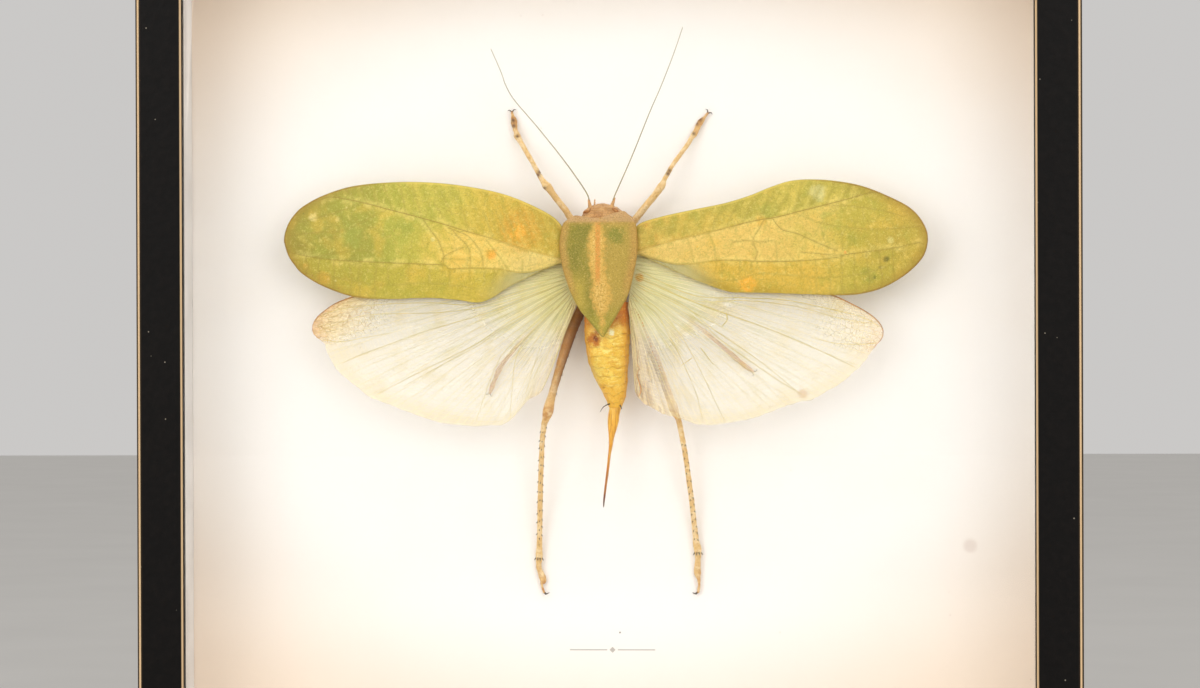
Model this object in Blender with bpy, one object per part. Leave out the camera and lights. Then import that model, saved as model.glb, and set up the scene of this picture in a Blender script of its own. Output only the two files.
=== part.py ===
"""A giant leaf katydid, wings spread, mounted in a square black box frame with a glass front.

The box stands on its bottom rail. X runs across it, Y runs into it (the glass faces -Y), Z is up,
and the origin is under the middle of the bottom rail. The insect lies flat against the board at
the back of the box: its head is up, its back faces the glass, its belly faces the board.
"""
import math

import bmesh
import bpy
from mathutils import Matrix, Vector

MM = 0.001

# The box frame, in metres
FRAME_SIDE = 366 * MM
FRAME_DEPTH = 50 * MM
RAIL_FACE = 18.3 * MM        # black face seen from the front
RAIL_WALL = 13.0 * MM        # rail behind the lip
LIP_DEPTH = 5.0 * MM
ARRIS = 0.9 * MM             # softened long edges of a rail
FIT = 0.3 * MM               # air between pieces that touch
GLASS_THICK = 2.0 * MM
SPACER_DEPTH = 34.4 * MM     # glass to board
SPACER_THICK = 1.7 * MM
BOARD_THICK = 1.6 * MM
BACK_THICK = 3.0 * MM
TAB_SIZE = (11 * MM, 8 * MM, 0.6 * MM)
TABS_PER_SIDE = 2
HANGER_WIDTH = 46 * MM
HANGER_HEIGHT = 9 * MM
HANGER_THICK = 1.2 * MM
HANGER_TEETH = 9
HANGER_DROP = 30 * MM        # below the inner edge of the top rail

FRONT = -FRAME_DEPTH / 2
BACK = FRAME_DEPTH / 2
OPENING_HALF = FRAME_SIDE / 2 - RAIL_WALL - FIT
GLASS_FRONT = FRONT + LIP_DEPTH + FIT
SPACER_FRONT = GLASS_FRONT + GLASS_THICK + FIT
BOARD_FRONT = SPACER_FRONT + SPACER_DEPTH + FIT
PANEL_FRONT = BOARD_FRONT + BOARD_THICK + FIT
PANEL_BACK = PANEL_FRONT + BACK_THICK

# The insect's middle, below the pronotum's widest point, in the frame
INSECT_X = -3.5 * MM
INSECT_Z = 206 * MM

# The insect's shapes are in millimetres from its middle: x to the right, y from the glass to the
# board, z towards the head. The board lies at y = 17.3, the glass at y = -17.7.

# Foam block under the thorax
PAD_LOW = (-4.5, 11.4, -1.0)
PAD_HIGH = (5.5, 17.0, 15.0)

# Pronotum shield: z, left rim, right rim, crest y, rim y
SHIELD = [
    (31.4, -12.4, 12.8, -7.8, -4.2), (29.6, -14.3, 14.4, -8.9, -4.6), (24.0, -15.5, 15.2, -10.3, -5.4),
    (18.4, -14.8, 14.7, -10.6, -5.9), (18.0, -14.7, 14.6, -10.6, -5.9), (9.0, -12.7, 12.8, -10.6, -6.6),
    (2.5, -10.6, 11.2, -10.2, -6.8), (-2.0, -8.2, 9.4, -9.7, -6.9), (-6.0, -5.2, 7.0, -9.1, -6.9),
    (-10.0, -2.3, 4.7, -8.5, -6.9), (-13.0, -0.2, 3.0, -7.9, -6.8), (-14.8, 0.9, 2.0, -7.5, -6.7),
]
SHIELD_EDGE = 1.0            # thickness of the free rim
# How far the front edge stands up past its corners, at even steps from left to right
SHIELD_BROW = [0.0, 1.6, 1.9, 1.2, 0.8, 1.4, 2.9, 3.2, 0.6]
BROW_FADE = 0.35             # share of that which the next ring keeps
LOBE_WAIST = 0.70            # width of the side lobes under the rim, as a share of the rim's
LOBE_BOTTOM = 3.0
CHEST_BOTTOM = 9.0
CHEST_HALF = 8.0
CHEST_END = 18.2             # below this the shield is free and the thorax lies under it

# Thorax rings: z, middle x, half width, middle y, half depth
THORAX = [
    (17.4, 0.2, 8.6, 3.4, 6.2), (15.0, 0.2, 10.2, 3.3, 7.2), (9.0, 0.2, 10.6, 3.2, 7.6),
    (3.0, 0.6, 10.0, 3.2, 7.6), (-2.0, 1.2, 8.8, 3.4, 7.4), (-4.8, 1.7, 7.4, 3.6, 6.8),
]
# Abdomen rings, one to a segment: z, middle x, half width, middle y, half depth
ABDOMEN = [
    (-5.4, 2.0, 7.6, 3.8, 6.6), (-10.5, 2.4, 9.0, 3.8, 7.6), (-15.5, 2.6, 8.9, 3.9, 7.9),
    (-20.0, 2.7, 8.5, 4.1, 7.7), (-24.5, 3.0, 8.0, 4.3, 7.3), (-28.5, 3.5, 7.1, 4.6, 6.7),
    (-32.5, 4.3, 6.1, 4.9, 6.0), (-36.2, 5.1, 4.9, 5.2, 5.0), (-39.8, 5.6, 3.6, 5.5, 3.9),
    (-42.6, 5.5, 2.5, 5.7, 3.0),
]
RING_GROOVE = 0.45           # depth of the grooves between the abdomen's segments
# Cerci, the short feelers at the tail: base, middle, tip
CERCI = [
    [(3.6, 3.4, -41.2), (1.0, 1.6, -43.8), (-1.0, 1.0, -44.6)],
    [(7.2, 3.4, -41.4), (8.4, 1.8, -44.0), (9.2, 1.2, -44.8)],
]
CERCUS_RADIUS = 0.55
# Ovipositor: z, middle x, half width, middle y, half depth
OVIPOSITOR = [
    (-43.0, 5.3, 2.2, 5.7, 2.7), (-45.5, 4.9, 2.0, 5.6, 2.7), (-50.0, 4.3, 1.5, 5.4, 2.6),
    (-55.0, 3.9, 1.15, 5.0, 2.4), (-60.0, 3.5, 0.85, 4.5, 2.1), (-65.5, 2.9, 0.7, 3.9, 1.8),
    (-71.0, 2.1, 0.55, 3.2, 1.4), (-76.0, 1.4, 0.42, 2.5, 1.0), (-80.0, 0.8, 0.3, 1.9, 0.55),
    (-81.8, 0.5, 0.15, 1.7, 0.25),
]

# Head: an egg-shaped capsule cut flat where the pronotum covers it
HEAD_MIDDLE = (1.0, 4.0, 31.6)
HEAD_RADII = (8.8, 8.6, 6.3)
HEAD_CUT = 33.1
EYES = [(-4.4, -2.2, 35.2), (6.4, -2.2, 35.4)]
EYE_RADIUS = 1.7
BROW = (1.0, -2.6, 36.3)
BROW_RADIUS = 1.9
SOCKETS = [(-3.9, 0.4, 36.6), (4.9, 0.4, 36.9)]
SOCKET_RADIUS = 0.9
PALPS = [
    [(-1.6, 9.0, 36.0), (-2.4, 10.2, 38.4), (-2.6, 9.4, 40.2)],
    [(3.6, 9.2, 36.0), (4.6, 10.6, 38.0), (4.4, 11.6, 39.2)],
]
PALP_RADIUS = 0.55

# Antennae, from socket to tip
ANTENNAE = {
    "antenna_left": [
        (-4.0, 0.1, 38.0), (-5.3, 0.0, 42.0), (-11.0, 0.6, 50.5), (-17.0, 1.6, 58.5),
        (-25.5, 3.0, 69.0), (-34.0, 5.0, 79.0), (-37.5, 6.0, 85.0), (-39.5, 7.0, 90.5),
        (-43.5, 8.5, 99.5),
    ],
    "antenna_right": [
        (5.0, 0.1, 38.2), (5.9, 0.0, 41.0), (12.5, 1.0, 56.0), (19.5, 3.0, 73.5),
        (24.0, 4.6, 84.0), (29.0, 6.6, 97.0), (32.5, 8.5, 107.5),
    ],
}
ANTENNA_BASE = 0.34
ANTENNA_TIP = 0.16

# Forewing edges from the root to the tip
FOREWINGS = {
    "forewing_left": (
        [(-11.6, 18.6), (-13.8, 26.0), (-16.5, 30.6), (-22.0, 34.6), (-34.5, 40.3), (-47.5, 43.7),
         (-64.0, 46.0), (-80.5, 46.4), (-97.0, 45.0), (-109.0, 41.4), (-117.2, 37.2), (-122.6, 31.4),
         (-125.0, 26.2), (-125.5, 23.0)],
        [(-11.6, 13.6), (-16.0, 14.3), (-30.5, 8.0), (-37.0, 4.6), (-42.5, 1.0), (-48.0, -0.9),
         (-56.5, 0.2), (-68.0, 1.0), (-84.5, 0.6), (-97.5, 1.6), (-109.5, 5.8), (-117.5, 10.6),
         (-123.0, 16.8), (-125.2, 20.8), (-125.5, 23.0)],
    ),
    "forewing_right": (
        [(11.6, 18.6), (13.2, 25.0), (15.5, 29.4), (24.5, 32.3), (37.0, 35.0), (49.0, 37.4),
         (59.0, 40.4), (67.5, 43.8), (76.0, 46.2), (87.0, 46.4), (98.5, 44.9), (107.5, 42.2),
         (117.0, 37.4), (124.4, 31.2), (128.0, 25.2), (128.7, 21.6)],
        [(11.6, 13.8), (15.0, 17.6), (32.5, 9.8), (49.0, 3.4), (57.0, 2.6), (66.0, 2.4),
         (82.0, 1.8), (97.0, 1.4), (106.5, 2.8), (114.0, 5.8), (121.0, 10.8), (126.4, 16.4),
         (128.4, 19.6), (128.7, 21.6)],
    ),
}
FOREWING_SPANS = 24
FOREWING_CHORDS = 7
FOREWING_THICK = 0.6
FOREWING_ROOT_Y = -2.2
FOREWING_TIP_Y = -1.6
FOREWING_CAMBER = 2.6        # how far the middle of the wing bows towards the glass

# Hind wing outlines: the hub that the veins spread from, then the margin from the front edge
# round the tip to the inner edge
HINDWINGS = {
    "hindwing_left": (
        [(-12.0, 12.4), (-11.9, 7.5), (-11.2, 2.5), (-10.2, -1.0)],
        [(-36.0, 12.6), (-64.0, 9.0), (-88.0, 4.4), (-103.0, 0.2), (-110.0, -3.6), (-114.2, -8.6),
         (-114.0, -12.4), (-109.6, -15.4), (-109.0, -19.6), (-104.4, -26.8), (-98.0, -33.0),
         (-89.5, -38.6), (-79.5, -42.4), (-67.0, -47.2), (-56.0, -49.0), (-43.5, -49.6),
         (-36.8, -48.2), (-32.0, -43.6), (-28.8, -39.6), (-23.6, -36.6), (-19.4, -28.0),
         (-15.4, -17.0)],
    ),
    "hindwing_right": (
        [(12.4, 14.4), (12.6, 8.5), (12.5, 3.0), (12.0, -2.0)],
        [(40.0, 12.6), (68.0, 8.0), (88.0, 2.4), (98.5, -2.4), (106.5, -7.2), (110.9, -13.2),
         (108.8, -16.8), (106.6, -20.4), (101.6, -27.2), (94.5, -33.0), (84.0, -38.8),
         (73.5, -41.8), (61.5, -46.2), (50.0, -48.6), (40.5, -49.2), (32.5, -47.4), (24.0, -44.6),
         (17.8, -41.4), (13.6, -36.4), (14.6, -28.0), (13.6, -16.0)],
    ),
}
HINDWING_PLEATS = 18
HINDWING_STEPS = 6
HINDWING_THICK = 0.4
HINDWING_Y = 1.2
HINDWING_LIFT = 1.6          # the inner part rides this much nearer the glass
PLEAT_DEPTH = 0.45

# Legs: x, y, z, width, depth along each leg, from the hip to the foot
LEGS = {
    "front_leg_left": [
        (-6.4, 11.2, 23.0, 3.4, 2.8), (-9.6, 11.2, 27.0, 3.0, 2.8), (-13.6, 10.0, 33.0, 2.5, 2.6),
        (-18.4, 7.8, 40.2, 2.2, 2.4), (-21.0, 6.6, 43.8, 2.6, 2.8), (-22.2, 6.6, 45.8, 2.4, 2.6),
        (-24.8, 7.6, 50.4, 2.6, 2.2), (-28.2, 9.6, 56.6, 1.7, 1.7), (-31.4, 12.0, 61.8, 1.6, 1.6),
        (-33.6, 14.0, 65.6, 2.0, 1.8), (-34.4, 15.2, 67.6, 1.4, 1.3), (-35.0, 15.6, 70.2, 2.4, 1.7),
        (-34.6, 15.8, 72.4, 1.9, 1.5), (-34.9, 15.7, 74.2, 1.0, 1.0),
    ],
    "front_leg_right": [
        (7.0, 11.2, 23.0, 3.4, 2.8), (10.0, 11.2, 27.0, 3.0, 2.8), (13.8, 10.0, 32.6, 2.5, 2.6),
        (20.2, 7.8, 40.4, 2.2, 2.4), (23.0, 6.6, 43.6, 2.6, 2.8), (24.4, 6.6, 45.8, 2.4, 2.6),
        (27.2, 7.6, 50.4, 2.6, 2.2), (31.4, 9.8, 57.0, 1.7, 1.7), (35.4, 12.4, 63.0, 1.6, 1.6),
        (37.4, 14.0, 66.2, 2.0, 1.8), (38.3, 15.2, 68.2, 1.4, 1.3), (39.4, 15.6, 70.4, 2.4, 1.7),
        (41.0, 15.8, 72.4, 1.9, 1.5), (42.6, 15.7, 74.4, 1.0, 1.0),
    ],
    "middle_leg_left": [
        (-8.2, 11.4, 8.5, 3.4, 2.8), (-12.0, 11.0, 5.0, 2.8, 2.6), (-20.0, 8.6, -4.0, 2.2, 2.2),
        (-26.0, 6.8, -10.4, 2.4, 2.4), (-29.0, 7.2, -13.6, 2.0, 2.0), (-34.0, 10.4, -18.6, 1.7, 1.7),
        (-39.4, 13.6, -25.0, 1.7, 1.7), (-41.6, 15.0, -28.4, 1.9, 1.7), (-42.8, 15.5, -31.2, 1.6, 1.5),
        (-44.0, 15.7, -34.2, 1.8, 1.5), (-45.2, 15.8, -37.4, 1.0, 1.0),
    ],
    "middle_leg_right": [
        (9.0, 11.4, 8.5, 3.4, 2.8), (13.0, 11.0, 5.4, 2.8, 2.6), (24.0, 8.6, -2.0, 2.2, 2.2),
        (33.4, 6.8, -6.6, 2.4, 2.4), (37.0, 7.2, -9.6, 2.0, 2.0), (43.0, 10.4, -14.6, 1.7, 1.7),
        (49.0, 13.6, -19.8, 1.7, 1.7), (52.4, 15.0, -22.8, 1.9, 1.7), (54.6, 15.5, -24.8, 1.6, 1.5),
        (57.4, 15.7, -27.0, 1.8, 1.5), (60.2, 15.8, -29.0, 1.0, 1.0),
    ],
    "hind_leg_left": [
        (-7.4, 12.2, -1.2, 3.8, 3.6), (-9.2, 11.2, -6.0, 4.2, 4.4), (-12.0, 9.6, -12.4, 4.4, 4.8),
        (-14.6, 7.6, -20.6, 3.9, 4.2), (-17.1, 5.8, -29.0, 3.3, 3.6), (-19.1, 4.2, -37.0, 3.0, 3.2),
        (-20.3, 3.2, -42.0, 3.6, 3.6), (-20.8, 3.0, -45.2, 4.2, 3.6), (-21.8, 3.4, -48.4, 3.0, 2.8),
        (-22.8, 4.6, -53.0, 2.2, 2.3), (-23.7, 7.4, -64.0, 2.1, 2.2), (-24.3, 11.0, -80.0, 2.0, 2.1),
        (-24.8, 14.6, -97.0, 2.1, 2.1), (-25.0, 15.2, -101.4, 3.0, 2.4), (-24.8, 15.6, -103.6, 2.0, 1.9),
        (-24.6, 15.7, -106.4, 2.7, 2.0), (-24.2, 15.8, -109.6, 2.0, 1.8), (-23.4, 15.8, -111.2, 3.0, 2.0),
        (-23.6, 15.9, -114.0, 1.6, 1.4), (-23.2, 15.9, -115.8, 1.1, 1.0),
    ],
    "hind_leg_right": [
        (9.6, 12.2, -1.6, 3.8, 3.6), (12.8, 11.2, -6.4, 4.4, 4.4), (16.6, 9.8, -13.4, 4.4, 4.8),
        (20.6, 8.2, -22.0, 3.8, 4.2), (24.4, 6.8, -30.6, 3.2, 3.6), (27.6, 5.6, -38.4, 2.9, 3.0),
        (29.4, 4.9, -43.0, 3.4, 3.2), (30.2, 4.6, -46.0, 3.8, 3.4), (30.7, 4.8, -48.6, 2.8, 2.8),
        (31.4, 5.6, -53.0, 2.2, 2.3), (33.6, 8.0, -65.0, 2.1, 2.2), (35.9, 11.4, -81.0, 2.0, 2.1),
        (37.2, 14.6, -96.6, 2.1, 2.1), (37.7, 15.2, -100.8, 3.0, 2.4), (37.6, 15.6, -103.2, 2.0, 1.9),
        (37.5, 15.7, -106.2, 2.7, 2.0), (37.6, 15.8, -109.4, 2.0, 1.8), (38.2, 15.8, -111.4, 2.8, 2.0),
        (38.2, 15.9, -114.0, 1.6, 1.4), (37.4, 15.9, -116.0, 1.1, 1.0),
    ],
}
# Spiny stretch of a leg between two heights, the pitch of its spines and their length
SPINES = {
    "hind_leg_left": (-96.0, -50.5, 3.4, 1.5),
    "hind_leg_right": (-96.0, -51.0, 3.4, 1.5),
}
SPINE_FOOT = 0.8             # length of leg that one spine stands on
CLAW_SPREAD = 1.7
CLAW_LENGTH = 1.9


def material(name, colour, roughness, metallic=0.0, transmission=0.0):
    """A plain finish in the object's own colour."""
    made = bpy.data.materials.new(name)
    made.use_nodes = True
    shader = made.node_tree.nodes["Principled BSDF"]
    shader.inputs["Base Color"].default_value = (*colour, 1.0)
    shader.inputs["Roughness"].default_value = roughness
    shader.inputs["Metallic"].default_value = metallic
    shader.inputs["Transmission Weight"].default_value = transmission
    made.diffuse_color = (*colour, 1.0)
    return made


def finish(bm, name, parent, finish_material, crease=40):
    """Turn a bmesh into one named object with outward faces and soft shading."""
    bmesh.ops.recalc_face_normals(bm, faces=bm.faces)
    mesh = bpy.data.meshes.new(name)
    bm.to_mesh(mesh)
    bm.free()
    mesh.shade_smooth()
    mesh.set_sharp_from_angle(angle=math.radians(crease))
    mesh.materials.append(finish_material)
    made = bpy.data.objects.new(name, mesh)
    made.parent = parent
    bpy.context.scene.collection.objects.link(made)
    return made


def fuse(body, lumps):
    """Join lumps to a body, so that they are one closed surface."""
    bpy.context.view_layer.objects.active = body
    for lump in lumps:
        union = body.modifiers.new("union", "BOOLEAN")
        union.operation = "UNION"
        union.solver = "EXACT"
        union.object = lump
        bpy.ops.object.modifier_apply(modifier=union.name)
        bpy.data.objects.remove(lump)


def smooth_line(points, count):
    """Evenly spaced points on a smooth curve through the given ones."""
    knots = [Vector(point) for point in points]
    knots = [2 * knots[0] - knots[1], *knots, 2 * knots[-1] - knots[-2]]
    dense = []
    parts = 12
    for i in range(1, len(knots) - 2):
        a, b, c, d = knots[i - 1:i + 3]
        for j in range(parts):
            t = j / parts
            bend = (2 * a - 5 * b + 4 * c - d) * t * t + (3 * b - a - 3 * c + d) * t ** 3
            dense.append(b + ((c - a) * t + bend) / 2)
    dense.append(knots[-2])
    runs = [0.0]
    for before, after in zip(dense, dense[1:]):
        runs.append(runs[-1] + (after - before).length)
    line = []
    k = 0
    for i in range(count):
        goal = runs[-1] * i / (count - 1)
        while k < len(runs) - 2 and runs[k + 1] < goal:
            k += 1
        line.append(dense[k].lerp(dense[k + 1], (goal - runs[k]) / (runs[k + 1] - runs[k])))
    return line


def grow(bm, rings):
    """Extrude one end cap through every ring of points, and return the side faces ring by ring."""
    cap = bm.faces.new([bm.verts.new(point * MM) for point in rings[0]])
    sides = []
    for number, ring in enumerate(rings[1:]):
        corners = tops if number else list(cap.verts)
        made = bmesh.ops.extrude_face_region(bm, geom=[cap], use_keep_orig=True)["geom"]
        if number:
            bm.faces.remove(cap)
        cap = next(item for item in made if isinstance(item, bmesh.types.BMFace))
        tops = []
        for corner in corners:
            tops.append(next(vert for vert in cap.verts if vert.co == corner.co))
        band = []
        for i, corner in enumerate(corners):
            nearby = {corner, corners[(i + 1) % len(corners)], tops[i], tops[(i + 1) % len(tops)]}
            band.append(next(face for face in corner.link_faces if set(face.verts) == nearby))
        for top, point in zip(tops, ring):
            top.co = point * MM
        sides.append(band)
    return sides


def oval(middle, across, deep, sides, phase=0.5):
    """Points round an ellipse with the given half axes."""
    ring = []
    for i in range(sides):
        angle = 2 * math.pi * (i + phase) / sides
        ring.append(middle + across * math.cos(angle) + deep * math.sin(angle))
    return ring


def body_rings(table, sides):
    """Rings square to the long axis of the body."""
    return [
        oval(Vector((x, y, z)), Vector((half, 0, 0)), Vector((0, deep, 0)), sides)
        for z, x, half, y, deep in table
    ]


def limb_rings(path, widths, depths, sides):
    """Rings square to a path that runs roughly in the plane of the board."""
    rings = []
    for i, point in enumerate(path):
        along = (path[min(i + 1, len(path) - 1)] - path[max(i - 1, 0)]).normalized()
        across = along.cross(Vector((0, 1, 0))).normalized()
        deep = across.cross(along)
        rings.append(oval(point, across * widths[i] / 2, deep * depths[i] / 2, sides))
    return rings


# The box frame

def rail(name, turn, parent, paint):
    """One mitred rail: a lip over the glass and a wall behind it, with softened long edges."""
    half = FRAME_SIDE / 2
    mitre = FIT / 2 * math.sqrt(2)
    lip_back = FRONT + LIP_DEPTH
    section = [
        (0, FRONT), (RAIL_FACE, FRONT), (RAIL_FACE, lip_back), (RAIL_WALL, lip_back),
        (RAIL_WALL, BACK), (0, BACK),
    ]
    bm = bmesh.new()
    end = bm.faces.new([bm.verts.new((mitre + u - half, y, u - half)) for u, y in section])
    grown = bmesh.ops.extrude_face_region(bm, geom=[end], use_keep_orig=True)
    for item in grown["geom"]:
        if isinstance(item, bmesh.types.BMVert):
            item.co.x = -item.co.x
    soft = [section[0], section[1], section[2], section[5]]
    long_edges = []
    for edge in bm.edges:
        first, second = (vert.co for vert in edge.verts)
        runs_long = abs(first.x - second.x) > half
        here = any(abs(first.y - y) + abs(first.z + half - u) < FIT / 10 for u, y in soft)
        if runs_long and here:
            long_edges.append(edge)
    bmesh.ops.bevel(bm, geom=long_edges, offset=ARRIS, segments=2, profile=0.5,
                    affect="EDGES", material=-1)
    made = finish(bm, name, parent, paint)
    made.rotation_euler.y = turn
    return made


def block(name, low, high, parent, block_material, soften=0.0):
    """A flat piece between two corners, its edges softened if asked."""
    low, high = Vector(low), Vector(high)
    bm = bmesh.new()
    place = Matrix.Translation((low + high) / 2) @ Matrix.Diagonal((*(high - low), 1.0))
    bmesh.ops.create_cube(bm, size=1.0, matrix=place)
    if soften:
        bmesh.ops.bevel(bm, geom=list(bm.edges), offset=soften, segments=1, profile=0.5,
                        affect="EDGES", material=-1)
    return finish(bm, name, parent, block_material)


def back_tab(name, turn, shift, parent, metal):
    """A flat metal tab that reaches from a rail over the back panel."""
    width, reach, thick = TAB_SIZE
    top = PANEL_BACK + FIT
    root = OPENING_HALF
    bm = bmesh.new()
    outline = [
        (shift - width / 2, -root), (shift + width / 2, -root), (shift + width / 2, -root + reach * 0.6),
        (shift + width / 4, -root + reach), (shift - width / 4, -root + reach),
        (shift - width / 2, -root + reach * 0.6),
    ]
    face = bm.faces.new([bm.verts.new((x, top, z)) for x, z in outline])
    grown = bmesh.ops.extrude_face_region(bm, geom=[face], use_keep_orig=True)
    lifted = [item for item in grown["geom"] if isinstance(item, bmesh.types.BMVert)]
    bmesh.ops.translate(bm, verts=lifted, vec=(0, thick, 0))
    made = finish(bm, name, parent, metal)
    made.rotation_euler.y = turn
    return made


def hanger(parent, metal):
    """A saw-tooth hanger plate with two rivet heads, inside the recess of the back."""
    front = PANEL_BACK + FIT
    top = OPENING_HALF - HANGER_DROP
    bottom = top - HANGER_HEIGHT
    tooth = HANGER_WIDTH * 0.6 / HANGER_TEETH
    outline = [(-HANGER_WIDTH / 2, top), (-HANGER_WIDTH / 2, bottom + 2 * MM)]
    for i in range(HANGER_TEETH):
        left = -HANGER_WIDTH * 0.3 + i * tooth
        outline += [(left, bottom), (left + tooth / 2, bottom + 1.6 * MM)]
    outline += [(HANGER_WIDTH * 0.3, bottom), (HANGER_WIDTH / 2, bottom + 2 * MM), (HANGER_WIDTH / 2, top)]
    bm = bmesh.new()
    face = bm.faces.new([bm.verts.new((x, front, z)) for x, z in outline])
    grown = bmesh.ops.extrude_face_region(bm, geom=[face], use_keep_orig=True)
    lifted = [item for item in grown["geom"] if isinstance(item, bmesh.types.BMVert)]
    bmesh.ops.translate(bm, verts=lifted, vec=(0, HANGER_THICK, 0))
    plate = finish(bm, "hanger", parent, metal)
    rivets = []
    for side in (-1, 1):
        bm = bmesh.new()
        middle = (side * (HANGER_WIDTH / 2 - 5 * MM), front + HANGER_THICK, top - HANGER_HEIGHT / 2.6)
        bmesh.ops.create_uvsphere(bm, u_segments=8, v_segments=4, radius=2 * MM)
        bmesh.ops.scale(bm, vec=(1, 0.35, 1), verts=bm.verts)
        bmesh.ops.translate(bm, verts=bm.verts, vec=middle)
        rivets.append(finish(bm, "rivet", parent, metal))
    fuse(plate, rivets)
    return plate


def build_frame(parent):
    paint = material("black_satin_paint", (0.012, 0.011, 0.011), 0.35)
    glass = material("clear_glass", (1.0, 1.0, 1.0), 0.0, transmission=1.0)
    card = material("pale_card", (0.80, 0.74, 0.68), 0.8)
    board = material("warm_white_board", (0.94, 0.92, 0.88), 0.8)
    hardboard = material("brown_hardboard", (0.22, 0.13, 0.07), 0.75)
    steel = material("plated_steel", (0.55, 0.54, 0.52), 0.35, metallic=1.0)

    turns = {"bottom": 0, "left": math.pi / 2, "top": math.pi, "right": -math.pi / 2}
    for side, turn in turns.items():
        rail(f"rail_{side}", turn, parent, paint)

    reach = OPENING_HALF
    inner = reach - SPACER_THICK
    block("glass_pane", (-reach, GLASS_FRONT, -reach), (reach, GLASS_FRONT + GLASS_THICK, reach),
          parent, glass)
    strip_back = SPACER_FRONT + SPACER_DEPTH
    for side, turn in turns.items():
        end = reach if side in ("bottom", "top") else inner - FIT
        strip = block(f"spacer_{side}", (-end, SPACER_FRONT, -reach), (end, strip_back, -inner),
                      parent, card)
        strip.rotation_euler.y = turn
    block("mount_board", (-reach, BOARD_FRONT, -reach), (reach, BOARD_FRONT + BOARD_THICK, reach),
          parent, board)
    block("back_panel", (-reach, PANEL_FRONT, -reach), (reach, PANEL_BACK, reach), parent, hardboard)

    number = 0
    for turn in turns.values():
        for place in range(TABS_PER_SIDE):
            number += 1
            shift = reach * (2 * place / (TABS_PER_SIDE - 1) - 1) / 2
            back_tab(f"back_tab_{number}", turn, shift, parent, steel)
    hanger(parent, steel)


# The insect

def pronotum(parent, skin):
    """The shield with its side lobes and, under its front half, the chest."""
    rings = []
    for number, (z, left, right, crest, rim) in enumerate(SHIELD):
        middle = (left + right) / 2
        half = (right - left) / 2
        keep = (1.0, BROW_FADE)[number] if number < 2 else 0.0
        dome = []
        for i, brow in enumerate(SHIELD_BROW):
            t = 2 * i / (len(SHIELD_BROW) - 1) - 1
            y = rim + (crest - rim) * (1 - t * t) ** 0.7
            dome.append(Vector((middle + half * t, y, z + keep * brow)))
        under = rim + SHIELD_EDGE
        thin = max(0.0, 1 - SHIELD_EDGE / half)
        if z > CHEST_END:
            waist = half * LOBE_WAIST
            side = [(0.93 * half, under), (waist, under + 1.2), (waist, LOBE_BOTTOM), (CHEST_HALF, CHEST_BOTTOM)]
        else:
            side = [(thin * half, under), (0.75 * half, under - 0.1), (0.5 * half, under - 0.4),
                    (0.2 * half, under - 0.5)]
        right_side = [Vector((middle + x, y, z)) for x, y in side]
        left_side = [Vector((middle - x, y, z)) for x, y in reversed(side)]
        rings.append(dome + right_side + left_side)
    bm = bmesh.new()
    grow(bm, rings)
    return finish(bm, "pronotum", parent, skin, crease=50)


def abdomen(parent, skin):
    """The ringed abdomen with a cercus on each side of its tail."""
    table = []
    for before, after in zip(ABDOMEN, ABDOMEN[1:]):
        table.append(before)
        z, x, half, y, deep = ((a + b) / 2 for a, b in zip(before, after))
        table.append((z, x, half + 0.15, y, deep + 0.15))
        table.append((after[0] + 0.5, after[1], after[2] + 0.1, after[3], after[4] + 0.1))
    table.append(ABDOMEN[-1])
    for i in range(3, len(table) - 1, 3):
        z, x, half, y, deep = table[i]
        table[i] = (z, x, half - RING_GROOVE, y, deep - RING_GROOVE)
    bm = bmesh.new()
    grow(bm, body_rings(table, 12))
    body = finish(bm, "abdomen", parent, skin)
    feelers = []
    for route in CERCI:
        path = smooth_line(route, 6)
        sizes = [2 * CERCUS_RADIUS * (1 - 0.75 * i / 5) for i in range(6)]
        bm = bmesh.new()
        grow(bm, limb_rings(path, sizes, sizes, 6))
        feelers.append(finish(bm, "cercus", parent, skin))
    fuse(body, feelers)
    return body


def head(parent, skin):
    """The head capsule, cut flat at the back, with eyes, brow, antenna sockets and palps."""
    bm = bmesh.new()
    bmesh.ops.create_uvsphere(bm, u_segments=16, v_segments=12, radius=MM)
    bmesh.ops.scale(bm, vec=HEAD_RADII, verts=bm.verts)
    bmesh.ops.translate(bm, verts=bm.verts, vec=Vector(HEAD_MIDDLE) * MM)
    cut = bmesh.ops.bisect_plane(bm, geom=bm.verts[:] + bm.edges[:] + bm.faces[:], dist=1e-6,
                                 plane_co=(0, 0, HEAD_CUT * MM), plane_no=(0, 0, -1), clear_outer=True)
    rim = [item for item in cut["geom_cut"] if isinstance(item, bmesh.types.BMEdge)]
    bmesh.ops.contextual_create(bm, geom=rim)
    capsule = finish(bm, "head", parent, skin)
    lumps = []
    bumps = [(place, EYE_RADIUS) for place in EYES]
    bumps += [(BROW, BROW_RADIUS)] + [(place, SOCKET_RADIUS) for place in SOCKETS]
    for place, radius in bumps:
        bm = bmesh.new()
        bmesh.ops.create_uvsphere(bm, u_segments=8, v_segments=6, radius=radius * MM)
        bmesh.ops.translate(bm, verts=bm.verts, vec=Vector(place) * MM)
        lumps.append(finish(bm, "bump", parent, skin))
    for route in PALPS:
        path = smooth_line(route, 5)
        sizes = [2 * PALP_RADIUS] * 5
        bm = bmesh.new()
        grow(bm, limb_rings(path, sizes, sizes, 6))
        lumps.append(finish(bm, "palp", parent, skin))
    fuse(capsule, lumps)
    return capsule


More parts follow.
